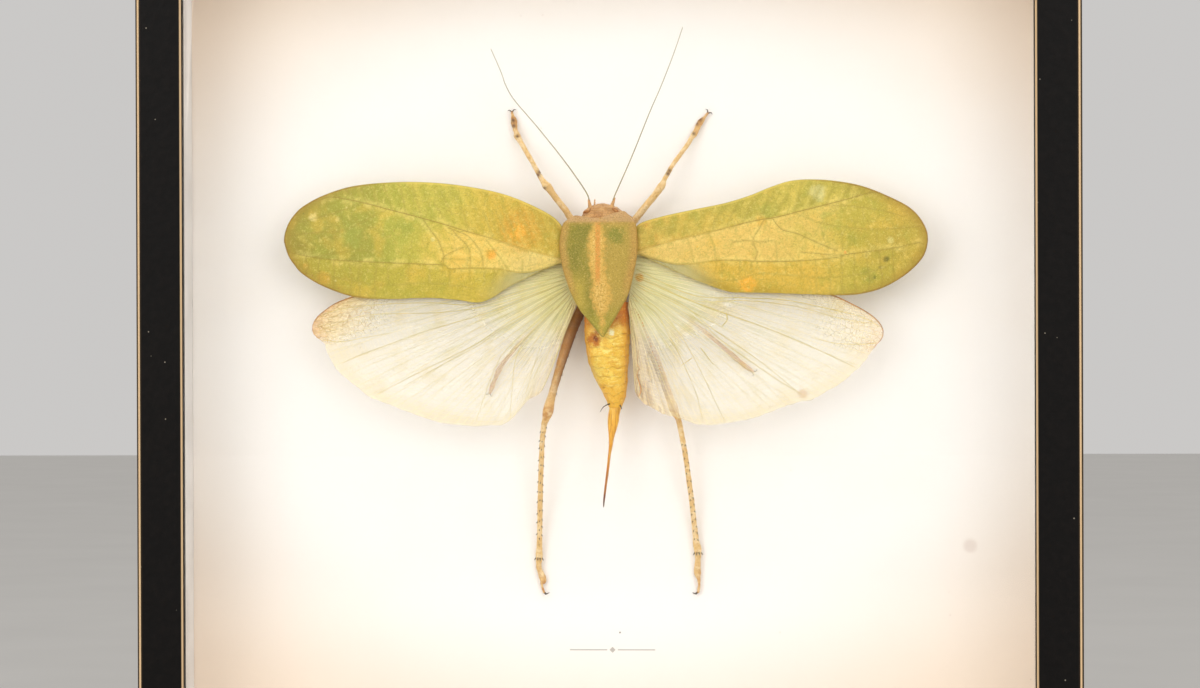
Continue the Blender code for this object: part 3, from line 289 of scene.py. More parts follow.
# Legs: x, y, z, width, depth along each leg, from the hip to the foot
LEGS = {
    "front_leg_left": [
        (-6.4, 11.2, 23.0, 3.4, 2.8), (-9.6, 11.2, 27.0, 3.0, 2.8), (-13.2, 10.6, 34.0, 2.6, 2.6),
        (-18.6, 8.6, 41.3, 2.5, 2.6), (-20.5, 7.2, 44.1, 3.1, 2.9), (-21.6, 6.6, 45.3, 3.3, 3.0),
        (-22.7, 7.0, 46.8, 2.3, 2.4), (-23.9, 7.6, 48.6, 2.0, 2.0), (-26.5, 9.2, 53.3, 1.9, 1.9),
        (-31.3, 12.6, 61.4, 1.9, 1.8), (-32.8, 14.0, 64.0, 2.2, 1.9), (-33.6, 14.6, 65.4, 2.7, 2.1),
        (-34.2, 15.0, 67.0, 1.9, 1.6), (-34.6, 15.3, 68.6, 2.0, 1.6), (-34.9, 15.5, 70.4, 2.6, 1.7),
        (-35.1, 15.6, 72.0, 2.4, 1.6), (-35.5, 15.7, 73.3, 1.3, 1.2), (-35.8, 15.7, 75.4, 0.8, 0.8),
    ],
    "front_leg_right": [
        (7.0, 11.2, 23.0, 3.4, 2.8), (10.0, 11.2, 27.0, 3.0, 2.8), (14.1, 10.6, 32.7, 2.8, 2.7),
        (21.1, 8.0, 41.0, 2.7, 2.7), (23.7, 6.8, 44.4, 3.1, 2.9), (24.5, 6.6, 45.6, 2.6, 2.6),
        (25.1, 7.0, 47.2, 1.9, 2.0), (26.8, 8.0, 50.3, 1.8, 1.9), (29.0, 9.4, 54.1, 1.7, 1.8),
        (34.3, 13.0, 61.6, 1.8, 1.8), (35.7, 14.2, 64.2, 1.9, 1.8), (36.8, 14.8, 65.6, 2.4, 2.0),
        (37.6, 15.2, 67.2, 2.1, 1.7), (38.5, 15.5, 69.1, 2.2, 1.7), (39.6, 15.6, 70.9, 2.2, 1.6),
        (40.8, 15.7, 72.2, 1.2, 1.2), (42.5, 15.7, 74.4, 0.8, 0.8),
    ],
    "middle_leg_left": [
        (-8.2, 11.4, 8.5, 3.4, 2.8), (-12.0, 11.0, 5.0, 2.8, 2.6), (-20.0, 8.6, -4.0, 2.2, 2.2),
        (-26.0, 6.8, -10.4, 2.6, 2.4), (-29.0, 7.2, -13.6, 1.9, 2.0), (-34.0, 10.4, -18.6, 1.7, 1.7),
        (-39.4, 13.6, -25.0, 1.7, 1.7), (-41.6, 15.0, -28.4, 2.2, 1.7), (-42.8, 15.5, -31.2, 1.6, 1.5),
        (-44.0, 15.7, -34.2, 1.9, 1.5), (-45.2, 15.8, -37.4, 0.9, 0.9),
    ],
    "middle_leg_right": [
        (9.0, 11.4, 8.5, 3.4, 2.8), (13.0, 11.0, 5.4, 2.8, 2.6), (24.0, 8.6, -2.0, 2.2, 2.2),
        (33.4, 6.8, -6.6, 2.6, 2.4), (37.0, 7.2, -9.6, 1.9, 2.0), (43.0, 10.4, -14.6, 1.7, 1.7),
        (49.0, 13.6, -19.8, 1.7, 1.7), (52.4, 15.0, -22.8, 2.2, 1.7), (54.6, 15.5, -24.8, 1.6, 1.5),
        (57.4, 15.7, -27.0, 1.9, 1.5), (60.2, 15.8, -29.0, 0.9, 0.9),
    ],
    "hind_leg_left": [
        (-7.4, 12.2, -1.2, 3.8, 3.6), (-9.2, 11.2, -6.0, 4.2, 4.4), (-12.0, 9.6, -12.4, 4.4, 4.8),
        (-14.6, 7.6, -20.6, 3.9, 4.2), (-17.1, 5.8, -29.0, 3.3, 3.6), (-19.3, 4.2, -37.0, 3.1, 3.2),
        (-20.5, 3.3, -41.6, 3.9, 3.6), (-21.0, 3.2, -44.2, 4.2, 3.6), (-21.9, 4.0, -47.0, 2.9, 2.8),
        (-22.6, 4.6, -49.4, 2.3, 2.4), (-23.5, 6.0, -56.2, 2.1, 2.2), (-24.5, 10.0, -72.6, 2.1, 2.1),
        (-25.3, 14.0, -95.5, 2.2, 2.1), (-25.4, 14.6, -99.5, 2.6, 2.2), (-25.5, 15.0, -102.0, 2.8, 2.3),
        (-25.6, 15.2, -104.3, 2.2, 1.9), (-25.7, 15.5, -106.3, 2.1, 1.8), (-25.1, 15.6, -108.3, 2.2, 1.8),
        (-24.3, 15.6, -110.3, 2.8, 1.9), (-24.0, 15.7, -111.9, 2.4, 1.7), (-24.5, 15.7, -113.2, 1.1, 1.1),
        (-24.1, 15.8, -115.2, 0.9, 0.9), (-23.5, 15.8, -116.9, 0.9, 0.8),
    ],
    "hind_leg_right": [
        (9.6, 12.2, -1.6, 3.8, 3.6), (12.8, 11.2, -6.4, 4.4, 4.4), (16.6, 9.8, -13.4, 4.4, 4.8),
        (20.6, 8.2, -22.0, 3.8, 4.2), (24.4, 6.6, -31.6, 3.2, 3.6), (27.2, 5.2, -39.4, 3.3, 3.2),
        (28.4, 4.7, -42.6, 3.9, 3.5), (29.3, 4.9, -45.0, 2.9, 3.0), (30.4, 5.2, -47.4, 2.2, 2.4),
        (31.3, 6.2, -51.6, 2.2, 2.3), (33.2, 8.8, -62.9, 2.1, 2.2), (35.3, 12.4, -79.5, 2.1, 2.1),
        (36.6, 14.6, -92.2, 2.2, 2.1), (37.0, 15.0, -96.2, 2.6, 2.1), (37.5, 15.2, -98.9, 3.0, 2.3),
        (37.7, 15.4, -100.9, 2.8, 2.2), (37.6, 15.5, -103.5, 2.2, 1.9), (37.5, 15.6, -106.2, 2.5, 1.9),
        (37.5, 15.7, -108.8, 2.7, 1.8), (38.0, 15.7, -111.2, 1.3, 1.2), (38.1, 15.8, -113.5, 1.0, 1.0),
        (37.9, 15.8, -115.3, 1.2, 1.0), (37.4, 15.8, -116.8, 0.9, 0.8),
    ],
}
# Rows of spines on the shins: share of the half width, first and last height, pitch
SPINES = {
    "hind_leg_left": [(0.0, -52.0, -97.0, 3.4), (0.8, -50.0, -96.0, 3.9), (-0.8, -52.0, -97.0, 4.3)],
    "hind_leg_right": [(-0.45, -57.0, -98.0, 3.0), (0.65, -57.5, -97.0, 3.2)],
}
# Dark brown spots on the front legs: the hearing slits of the shins, the joints and the foot pads
LEG_SPOTS = {
    "front_leg_left": [(-24.2, 50.6, 0.9), (-24.9, 49.4, 0.9), (-33.5, 65.2, 0.7), (-35.2, 71.6, 0.9),
                       (-35.0, 69.4, 0.9), (-22.2, 44.2, 0.6)],
    "front_leg_right": [(26.5, 49.7, 0.9), (27.1, 50.9, 0.9), (36.6, 65.8, 0.7), (39.0, 71.6, 1.1),
                        (37.9, 69.8, 0.7)],
}
# Which way the pair of claws sweeps: to the left, to the right or spread
CLAW_SWEEP = {"hind_leg_left": 1, "hind_leg_right": -1}
HIP_Z, KNEE_Z = 2, -44       # the hind thighs lie between these heights
ANKLE_Z = {"hind_leg_left": -102.6, "hind_leg_right": -100.4}


# Materials

def srgb(code):
    """An sRGB hex colour as the linear colour that a shader reads."""
    shares = [int(code[i:i + 2], 16) / 255 for i in (0, 2, 4)]
    linear = [s / 12.92 if s <= 0.04045 else ((s + 0.055) / 1.055) ** 2.4 for s in shares]
    return (*linear, 1.0)


def node(tree, kind, inputs=None, out=0, stops=None, **settings):
    """Add a shader node and return one output. Each input is a socket to link or a value.

    The stops of a ramp are places with an sRGB hex colour or a level of grey.
    """
    made = tree.nodes.new("ShaderNode" + kind)
    for name, value in settings.items():
        setattr(made, name, value)
    for key, value in (inputs or {}).items():
        if isinstance(value, bpy.types.NodeSocket):
            tree.links.new(value, made.inputs[key])
        else:
            made.inputs[key].default_value = value
    for number, (place, colour) in enumerate(stops or []):
        elements = made.color_ramp.elements
        stop = elements[number] if number < 2 else elements.new(place)
        stop.position = place
        stop.color = srgb(colour) if isinstance(colour, str) else (colour, colour, colour, 1.0)
    return made.outputs[out]


def begin(name, centre=(0.0, 0.0, 0.0)):
    """A new material and the place on the object in millimetres from the given centre.

    The scale of a pattern on that place is one over its size in millimetres.
    """
    made = bpy.data.materials.new(name)
    made.use_nodes = True
    tree = made.node_tree
    place = node(tree, "TexCoord", out="Object")
    offset = tuple(-value for value in centre)
    spot = node(tree, "Mapping", {"Vector": place, "Location": offset, "Scale": (1000, 1000, 1000)})
    return made, tree, spot


def coat(made, colour, roughness, bumps=(), **constants):
    """Set the shader: colour, roughness, relief as (height, depth in millimetres) and constants."""
    tree = made.node_tree
    shader = tree.nodes["Principled BSDF"]
    normal = None
    for height, depth in bumps:
        inputs = {"Height": height, "Distance": depth * MM, "Strength": 1.0}
        if normal:
            inputs["Normal"] = normal
        normal = node(tree, "Bump", inputs)
    sockets = {"Base Color": colour, "Roughness": roughness}
    if normal:
        sockets["Normal"] = normal
    for name, value in constants.items():
        sockets[name.replace("_", " ")] = value
    for name, value in sockets.items():
        if isinstance(value, bpy.types.NodeSocket):
            tree.links.new(value, shader.inputs[name])
        else:
            shader.inputs[name].default_value = value
    return made


def mask(tree, *fades):
    """The product of fades, each a share, a socket, or a socket eased from 0 at low to 1 at high."""
    product = None
    for fade in fades:
        if isinstance(fade, tuple):
            fade = node(tree, "MapRange", dict(enumerate(fade)), interpolation_type="SMOOTHSTEP")
        if product is not None:
            fade = node(tree, "Math", {0: product, 1: fade}, operation="MULTIPLY")
        product = fade
    return product


def layered(tree, base, *layers):
    """Lay colours over a base colour. A layer is its colour and the fades of its mask."""
    for colour, *fades in layers:
        inputs = {0: mask(tree, *fades), 6: base, 7: srgb(colour)}
        base = node(tree, "Mix", inputs, out=2, data_type="RGBA")
    return base


def blot(tree, spot, x, z, radius, ragged, cloud):
    """The mask of a ragged round mark about a place on the face, in millimetres."""
    flat = node(tree, "VectorMath", {0: spot, 1: (1, 0, 1)}, operation="MULTIPLY")
    far = node(tree, "VectorMath", {0: flat, 1: (x, 0, z)}, out="Value", operation="DISTANCE")
    frayed = node(tree, "Math", {0: cloud, 1: ragged, 2: far}, operation="MULTIPLY_ADD")
    reach = radius + ragged / 2
    soft = 0.25 * radius + 0.08 * ragged
    return mask(tree, (frayed, reach + soft, reach - soft))


def marked(tree, spot, cloud, *marks):
    """Layers of ragged marks. A mark is its colour, x, z, radius, raggedness and strength."""
    return [(colour, blot(tree, spot, *place, cloud), strength) for colour, *place, strength in marks]


def satin_black_paint():
    """Satin black paint on wood: near black, a soft sheen, dust, painted highlights along the arrises."""
    made, tree, spot = begin("satin_black_paint")
    brushed = node(tree, "TexNoise", {"Vector": spot, "Scale": 0.35, "Detail": 3.0})
    pores = node(tree, "TexNoise", {"Vector": spot, "Scale": 2.4, "Detail": 2.0})
    dust = node(tree, "TexVoronoi", {"Vector": spot, "Scale": 0.13, "Randomness": 1.0})
    x, y, z = [node(tree, "SeparateXYZ", {0: spot}, out=i) for i in range(3)]
    across = node(tree, "Math", {0: x}, operation="ABSOLUTE")
    rise = node(tree, "Math", {0: z, 1: FRAME_HALF}, operation="SUBTRACT")
    upward = node(tree, "Math", {0: rise}, operation="ABSOLUTE")
    # How far out from the frame's middle: its outer edge is at 183 mm and its inner one at 165 mm
    out = node(tree, "Math", {0: across, 1: upward}, operation="MAXIMUM")
    front = (y, -23.6, -24.2)
    colour = layered(
        tree, srgb("070504"),
        ("0d0907", (brushed, 0.35, 0.75)),
        ("8f8779", (dust, 0.042, 0.026)),
        # Painted highlights: a brown sheen band and a pale tan line along the outer front arris, and a
        # tan line along the inner lip, where the rounded edges catch the lamps
        ("3a2c1e", front, (out, 180.6, 182.2)),
        ("d9b98f", front, (out, 181.4, 181.75), (out, 182.45, 182.1)),
        ("cdae86", front, (out, 165.9, 165.5), (out, 164.9, 165.1)))
    roughness = node(tree, "MapRange", {0: pores, 3: 0.36, 4: 0.52})
    return coat(made, colour, roughness, [(brushed, 0.12), (pores, 0.03)], Specular_IOR_Level=0.12)


def float_glass():
    """Clear 2 mm float glass: polished, colourless, with a faint broad smear."""
    made, tree, spot = begin("float_glass")
    smear = node(tree, "TexNoise", {"Vector": spot, "Scale": 0.02, "Detail": 2.0})
    roughness = node(tree, "MapRange", {0: smear, 1: 0.45, 2: 0.9, 3: 0.0, 4: 0.015})
    return coat(made, (1, 1, 1, 1), roughness, IOR=1.5, Transmission_Weight=1.0)


def lining_card():
    """Uncoated pale card: matt, faint fibres, painted shade towards the glass, where the lip shades it.
    """
    made, tree, spot = begin("lining_card")
    fibres = node(tree, "TexNoise", {"Vector": spot, "Scale": 1.6, "Detail": 4.0, "Roughness": 0.7})
    cloud = node(tree, "TexNoise", {"Vector": spot, "Scale": 0.03, "Detail": 2.0})
    y = node(tree, "SeparateXYZ", {0: spot}, out=1)
    colour = layered(
        tree, srgb("e8e4e0"),
        ("d2cdc8", (cloud, 0.4, 0.75), 0.5),
        ("ece8e4", (fibres, 0.55, 0.8), 0.4),
        # Painted shade: greyer towards the glass, in the shadow of the frame's lip
        ("bdb6b0", (y, -14.0, -17.5), 0.7))
    return coat(made, colour, 0.85, [(fibres, 0.04)])


def mount_board_paper():
    """Warm white cotton board: matt, faintly toothed, painted warm shade towards the walls, a few flecks,
    a smudge.
    """
    made, tree, spot = begin("mount_board_paper")
    tooth = node(tree, "TexNoise", {"Vector": spot, "Scale": 1.1, "Detail": 4.0, "Roughness": 0.65})
    cloud = node(tree, "TexNoise", {"Vector": spot, "Scale": 0.018, "Detail": 3.0})
    fleck = node(tree, "TexVoronoi", {"Vector": spot, "Scale": 0.07})
    x, z = [node(tree, "SeparateXYZ", {0: spot}, out=i) for i in (0, 2)]
    across = node(tree, "Math", {0: x}, operation="ABSOLUTE")
    flat = node(tree, "VectorMath", {0: spot, 1: (1, 0, 1)}, operation="MULTIPLY")
    # The painted warm shade begins at an oval, wider than it is high, about a place over the insect
    wide = node(tree, "VectorMath", {0: spot, 1: (0.72, 0, 1)}, operation="MULTIPLY")
    out, smudge, dot = [
        node(tree, "VectorMath", {0: where, 1: place}, out="Value", operation="DISTANCE")
        for where, place in ((wide, (0, 0, 195)), (flat, (142, 0, 108)), (flat, (3, 0, 73.5)))]
    # A thin printed rule with a lozenge in its middle lies under the insect, at this height
    rise = node(tree, "Math", {0: z, 1: 66.6}, operation="SUBTRACT")
    height = node(tree, "Math", {0: rise}, operation="ABSOLUTE")
    rule = mask(tree, (across, 17.2, 16.8), (height, 0.3, 0.16), (across, 1.9, 2.3))
    diamond = node(tree, "Math", {0: across, 1: height}, operation="ADD")
    lozenge = mask(tree, (diamond, 1.3, 1.1))
    mark = node(tree, "Math", {0: rule, 1: lozenge}, operation="MAXIMUM")
    colour = layered(
        tree, srgb("fffbf6"),
        ("fdf6ee", (cloud, 0.45, 0.8), 0.5),
        # Painted shade: the board turns warm tan towards the walls and corners, where the deep box shades
        # it
        ("f0dac2", (out, 105.0, 185.0), 0.9),
        ("d8c4b8", (smudge, 3.8, 1.5), 0.4),
        ("cbb9a6", (fleck, 0.028, 0.016), 0.6),
        ("6b5d4d", (dot, 0.45, 0.2)),
        ("9a8f84", mark, 0.75))
    return coat(made, colour, 0.88, [(tooth, 0.03)])


def hardboard_back():
    """Pressed hardboard: brown matted fibres, a rough felt-like face."""
    made, tree, spot = begin("hardboard_back")
    long = node(tree, "Mapping", {"Vector": spot, "Scale": (0.5, 0.5, 2.2)})
    fibres = node(tree, "TexNoise", {"Vector": long, "Scale": 0.9, "Detail": 6.0, "Roughness": 0.75})
    cloud = node(tree, "TexNoise", {"Vector": spot, "Scale": 0.03, "Detail": 3.0})
    colour = node(tree, "ValToRGB", {0: fibres}, stops=[
        (0.25, "4a2f1c"), (0.75, "9c6f48"), (0.5, "7b5233"), (0.6, "86603e")])
    colour = layered(tree, colour, ("6a4429", (cloud, 0.4, 0.7), 0.35))
    return coat(made, colour, 0.82, [(fibres, 0.25)])


def zinc_plate():
    """Zinc-plated pressed steel: bluish grey, satin, with fine rolling lines."""
    made, tree, spot = begin("zinc_plate")
    drawn = node(tree, "Mapping", {"Vector": spot, "Scale": (0.4, 1.0, 9.0)})
    lines = node(tree, "TexNoise", {"Vector": drawn, "Scale": 1.2, "Detail": 3.0})
    bloom = node(tree, "TexVoronoi", {"Vector": spot, "Scale": 0.7})
    colour = layered(tree, srgb("c3c5c8"), ("9ea2a8", bloom, 0.5))
    roughness = node(tree, "MapRange", {0: lines, 3: 0.26, 4: 0.48})
    return coat(made, colour, roughness, [(lines, 0.02)], Metallic=1.0)


def white_foam():
    """Closed-cell polyethylene foam: white, matt, small open cells on its cut faces."""
    made, tree, spot = begin("white_foam", INSECT_AT)
    cells = node(tree, "TexVoronoi", {"Vector": spot, "Scale": 1.3}, out="Distance")
    colour = layered(tree, srgb("f1efe8"), ("c9c5ba", (cells, 0.35, 0.05)))
    return coat(made, colour, 0.9, [(cells, 0.35)], Subsurface_Weight=0.1)


def leaf_wing(side):
    """A dried, leathery wing: waxy yellow green with tan fields, fine netted relief, low sheen."""
    left = side == "left"
    made, tree, spot = begin(f"leaf_wing_{side}", INSECT_AT)
    over_main, over_second, edge, by_long, by_cross = [
        node(tree, "Attribute", out="Fac", attribute_name=name)
        for name in ("over_main", "over_second", "edge", "by_long", "by_cross")]
    x, z = [node(tree, "SeparateXYZ", {0: spot}, out=i) for i in (0, 2)]
    span = node(tree, "Math", {0: x}, operation="ABSOLUTE")
    # Colour varies over 17 mm, 10 mm, 5 mm, flecks of 1.4 mm and a grain of 0.6 mm
    broad, wide, cloud, fleck, fine = [
        node(tree, "TexNoise", {"Vector": spot, "Scale": scale, "Detail": detail, "Roughness": blend})
        for scale, detail, blend in (
            (0.06, 4, 0.6), (0.1, 3, 0.5), (0.22, 5, 0.65), (0.7, 4, 0.7), (1.8, 3, 0.7))]
    # Two nets of fine veins: polygons of about six millimetres, and meshes of about one
    bent = node(tree, "VectorMath", {0: cloud, 1: (7, 7, 7), 2: spot}, operation="MULTIPLY_ADD")
    cells = node(tree, "TexVoronoi", {"Vector": bent, "Scale": 0.17}, feature="DISTANCE_TO_EDGE")
    warped = node(tree, "VectorMath", {0: fine, 1: (1, 1, 1), 2: spot}, operation="MULTIPLY_ADD")
    net = node(tree, "TexVoronoi", {"Vector": warped, "Scale": 0.85}, feature="DISTANCE_TO_EDGE")
    # The body colour changes from the root to the tip along an uneven front
    drift = node(tree, "Math", {0: broad, 1: 60.0, 2: span}, operation="MULTIPLY_ADD")
    reach = node(tree, "MapRange", {0: drift, 1: 40.0, 2: 155.0})
    # Faint slanting bands, 5.8 mm apart, cross the strip in front of the main vein
    slant = node(tree, "Math", {0: z, 1: 0.36 if left else -0.42, 2: x}, operation="MULTIPLY_ADD")
    waves = node(tree, "Math", {0: slant, 1: 2 * math.pi / 5.8}, operation="MULTIPLY")
    ripple = node(tree, "Math", {0: cloud, 1: 6.0, 2: waves}, operation="MULTIPLY_ADD")
    bands = node(tree, "Math", {0: ripple}, operation="SINE")
    # Fields of the wing, split by its two long veins
    costal = (over_main, 0.0, 2.0)
    below = (over_main, 0.5, -0.5)
    over_low = (over_second, -0.5, 0.5)
    under_second = (over_second, 0.5, -0.5)
    if left:
        stops = [(0.0, "bda23a"), (1.0, "9d9036"), (0.22, "d6b040"), (0.42, "d0bc4a"),
                 (0.6, "b7b447"), (0.8, "a6a33f")]
        fields = [
            ("f2cd66", below, over_low, (drift, 96.0, 76.0), 0.9),
            ("ead282", below, over_low, (span, 46.0, 28.0), 0.75),
            ("c7b03d", under_second, 0.5)]
        marks = [
            ("d9a036", -31.0, 27.5, 8.0, 8.0, 0.75), ("f9b339", -32.0, 26.5, 3.0, 6.0, 0.8),
            ("f5a52e", -42.0, 17.6, 2.0, 5.0, 0.85), ("ffeb4d", -42.6, 21.4, 0.6, 1.4, 1.0),
            ("f9e99a", -65.5, 24.0, 0.6, 3.4, 0.7), ("eade92", -113.0, 33.0, 1.6, 3.6, 0.9),
            ("ebe092", -99.8, 36.6, 0.6, 2.6, 0.85), ("e0d682", -103.4, 32.0, 0.8, 2.6, 0.7),
            ("f4ecae", -107.2, 8.4, 0.3, 2.4, 0.8), ("efe39c", -104.3, 7.9, 0.2, 2.0, 0.8),
            ("7d5420", -116.0, 10.8, 0.3, 1.8, 0.85), ("8a5c24", -113.6, 9.8, 0.3, 2.2, 0.8),
            ("8f6426", -110.6, 11.6, 0.2, 2.2, 0.6), ("8a5c24", -103.2, 4.9, 0.2, 1.8, 0.7),
            ("687a29", -117.0, 34.4, 0.2, 1.6, 1.0), ("a3ae49", -98.0, 26.0, 5.0, 14.0, 0.5),
            ("9aa341", -76.0, 29.0, 3.0, 12.0, 0.45), ("9b9639", -97.0, 16.5, 2.0, 12.0, 0.45),
            ("e0ae41", -109.0, 8.5, 2.4, 9.0, 0.75), ("daa744", -116.5, 14.0, 1.0, 7.0, 0.6)]
    else:
        stops = [(0.0, "d5a547"), (1.0, "c4a842"), (0.22, "cfaf47"), (0.42, "cfb449"),
                 (0.62, "cdba4f"), (0.82, "c2b043")]
        fields = [
            ("ecc76a", below, over_low, (drift, 130.0, 94.0), 0.9),
            ("e8c871", below, over_low, (span, 48.0, 30.0), 0.6),
            ("e4b947", under_second, (drift, 135.0, 100.0), 0.7),
            ("b3962d", under_second, (edge, 4.5, 0.8), (span, 90.0, 60.0), 0.75),
            ("b1a743", costal, (wide, 0.42, 0.6), 0.6)]
        marks = [
            ("fbb63b", 57.5, 5.6, 3.4, 7.0, 0.8), ("f3b743", 63.0, 31.0, 2.0, 5.0, 0.5),
            ("fbc13b", 38.5, 20.5, 0.6, 2.6, 0.7), ("f09a40", 96.0, 17.9, 0.6, 2.6, 1.0),
            ("ebe6a3", 85.5, 41.5, 3.0, 6.0, 0.6), ("a8af49", 90.0, 30.0, 4.0, 12.0, 0.55),
            ("a5a23b", 100.0, 25.0, 3.0, 12.0, 0.5), ("9fa741", 66.0, 35.0, 3.0, 10.0, 0.45),
            ("9b9e3b", 106.0, 9.5, 3.0, 8.0, 0.6), ("eee28e", 113.6, 22.5, 1.2, 3.6, 0.6),
            ("525a1e", 112.0, 15.2, 1.0, 3.0, 0.9), ("646b28", 109.6, 12.0, 0.8, 2.8, 0.85),
            ("5f6a26", 107.4, 8.0, 0.8, 2.8, 0.85), ("56661d", 112.8, 39.2, 0.5, 1.6, 1.0)]
    body = node(tree, "ValToRGB", {0: reach}, stops=stops)
    colour = layered(
        tree, body, *fields, *marked(tree, spot, cloud, *marks),
        ("a9a33f", costal, (bands, 0.0, 1.0), 0.26),
        ("ebd265", costal, (bands, 0.0, -1.0), 0.2),
        ("eed065", (cloud, 0.52, 0.68), 0.26),
        ("a5a63e", (cloud, 0.48, 0.34), 0.3),
        ("ebbf4d", (wide, 0.5, 0.68), below, 0.4),
        ("f5e07f", (by_long, 2.6, 0.9), (cloud, 0.4, 0.6), 0.35),
        ("9b9037", (cells, 0.06, 0.015), (fleck, 0.4, 0.6), 0.36),
        ("998a35", (by_cross, 0.9, 0.1), (fleck, 0.3, 0.55), 0.3),
        ("937e2e", (by_long, 0.8, 0.1), 0.3),
        ("9b8b33", (net, 0.09, 0.01), 0.16),
        ("f9e483", (fleck, 0.55, 0.66), 0.3),
        ("96882f", (fleck, 0.45, 0.34), 0.36),
        ("ffeb90", (fine, 0.56, 0.68), 0.28),
        ("918129", (fine, 0.44, 0.32), 0.36),
        ("a88a33", (edge, 5.0, 0.8), (span, 80.0, 124.0), 0.6),
        ("f3d972", (edge, 0.9, 0.5), costal, (span, 90.0, 70.0), 0.35),
        ("946a2a", (edge, 0.8, 0.35), (fleck, 0.3, 0.55), (span, 74.0, 104.0), 0.7))
    # The strip behind the second vein is thin at the root and lets light through
    thin = mask(tree, under_second, (span, 50.0, 26.0), (edge, 9.0, 1.0))
    colour = layered(tree, colour, ("dbd59b", thin, 0.85), ("b9b55e", thin, (fine, 0.52, 0.62), 0.6))
    alpha = node(tree, "Math", {0: thin, 1: -0.62, 2: 1.0}, operation="MULTIPLY_ADD")
    wax = node(tree, "MapRange", {0: fine, 3: 0.46, 4: 0.62})
    return coat(made, colour, wax, [(wide, 1.0), (cloud, 0.5), (fleck, 0.12), (fine, 0.06)],
                Alpha=alpha, Specular_IOR_Level=0.25)


def wing_vein():
    """A sclerotised wing vein: olive tan, browner outwards, slightly glossy."""
    made, tree, spot = begin("wing_vein", INSECT_AT)
    x = node(tree, "SeparateXYZ", {0: spot})
    span = node(tree, "Math", {0: x}, operation="ABSOLUTE")
    cloud = node(tree, "TexNoise", {"Vector": spot, "Scale": 0.25, "Detail": 3.0})
    along = node(tree, "MapRange", {0: span, 1: 15.0, 2: 115.0})
    colour = node(tree, "ValToRGB", {0: along}, stops=[
        (0.0, "debb55"), (1.0, "94802d"), (0.25, "c8aa4a"), (0.5, "9b7d30")])
    colour = layered(tree, colour, ("8b6f28", (cloud, 0.5, 0.66), 0.5))
    return coat(made, colour, 0.5, [(cloud, 0.05)], Specular_IOR_Level=0.3)


def wing_net():
    """The bead along a wing's edge and its finest veins: straw yellow, browner towards the tip."""
    made, tree, spot = begin("wing_net", INSECT_AT)
    x = node(tree, "SeparateXYZ", {0: spot})
    span = node(tree, "Math", {0: x}, operation="ABSOLUTE")
    cloud = node(tree, "TexNoise", {"Vector": spot, "Scale": 0.3, "Detail": 3.0})
    colour = layered(
        tree, srgb("c5b14f"),
        ("a68f40", (cloud, 0.45, 0.65), 0.6),
        ("98732c", (span, 85.0, 120.0)))
    return coat(made, colour, 0.5, [(cloud, 0.04)], Specular_IOR_Level=0.3)


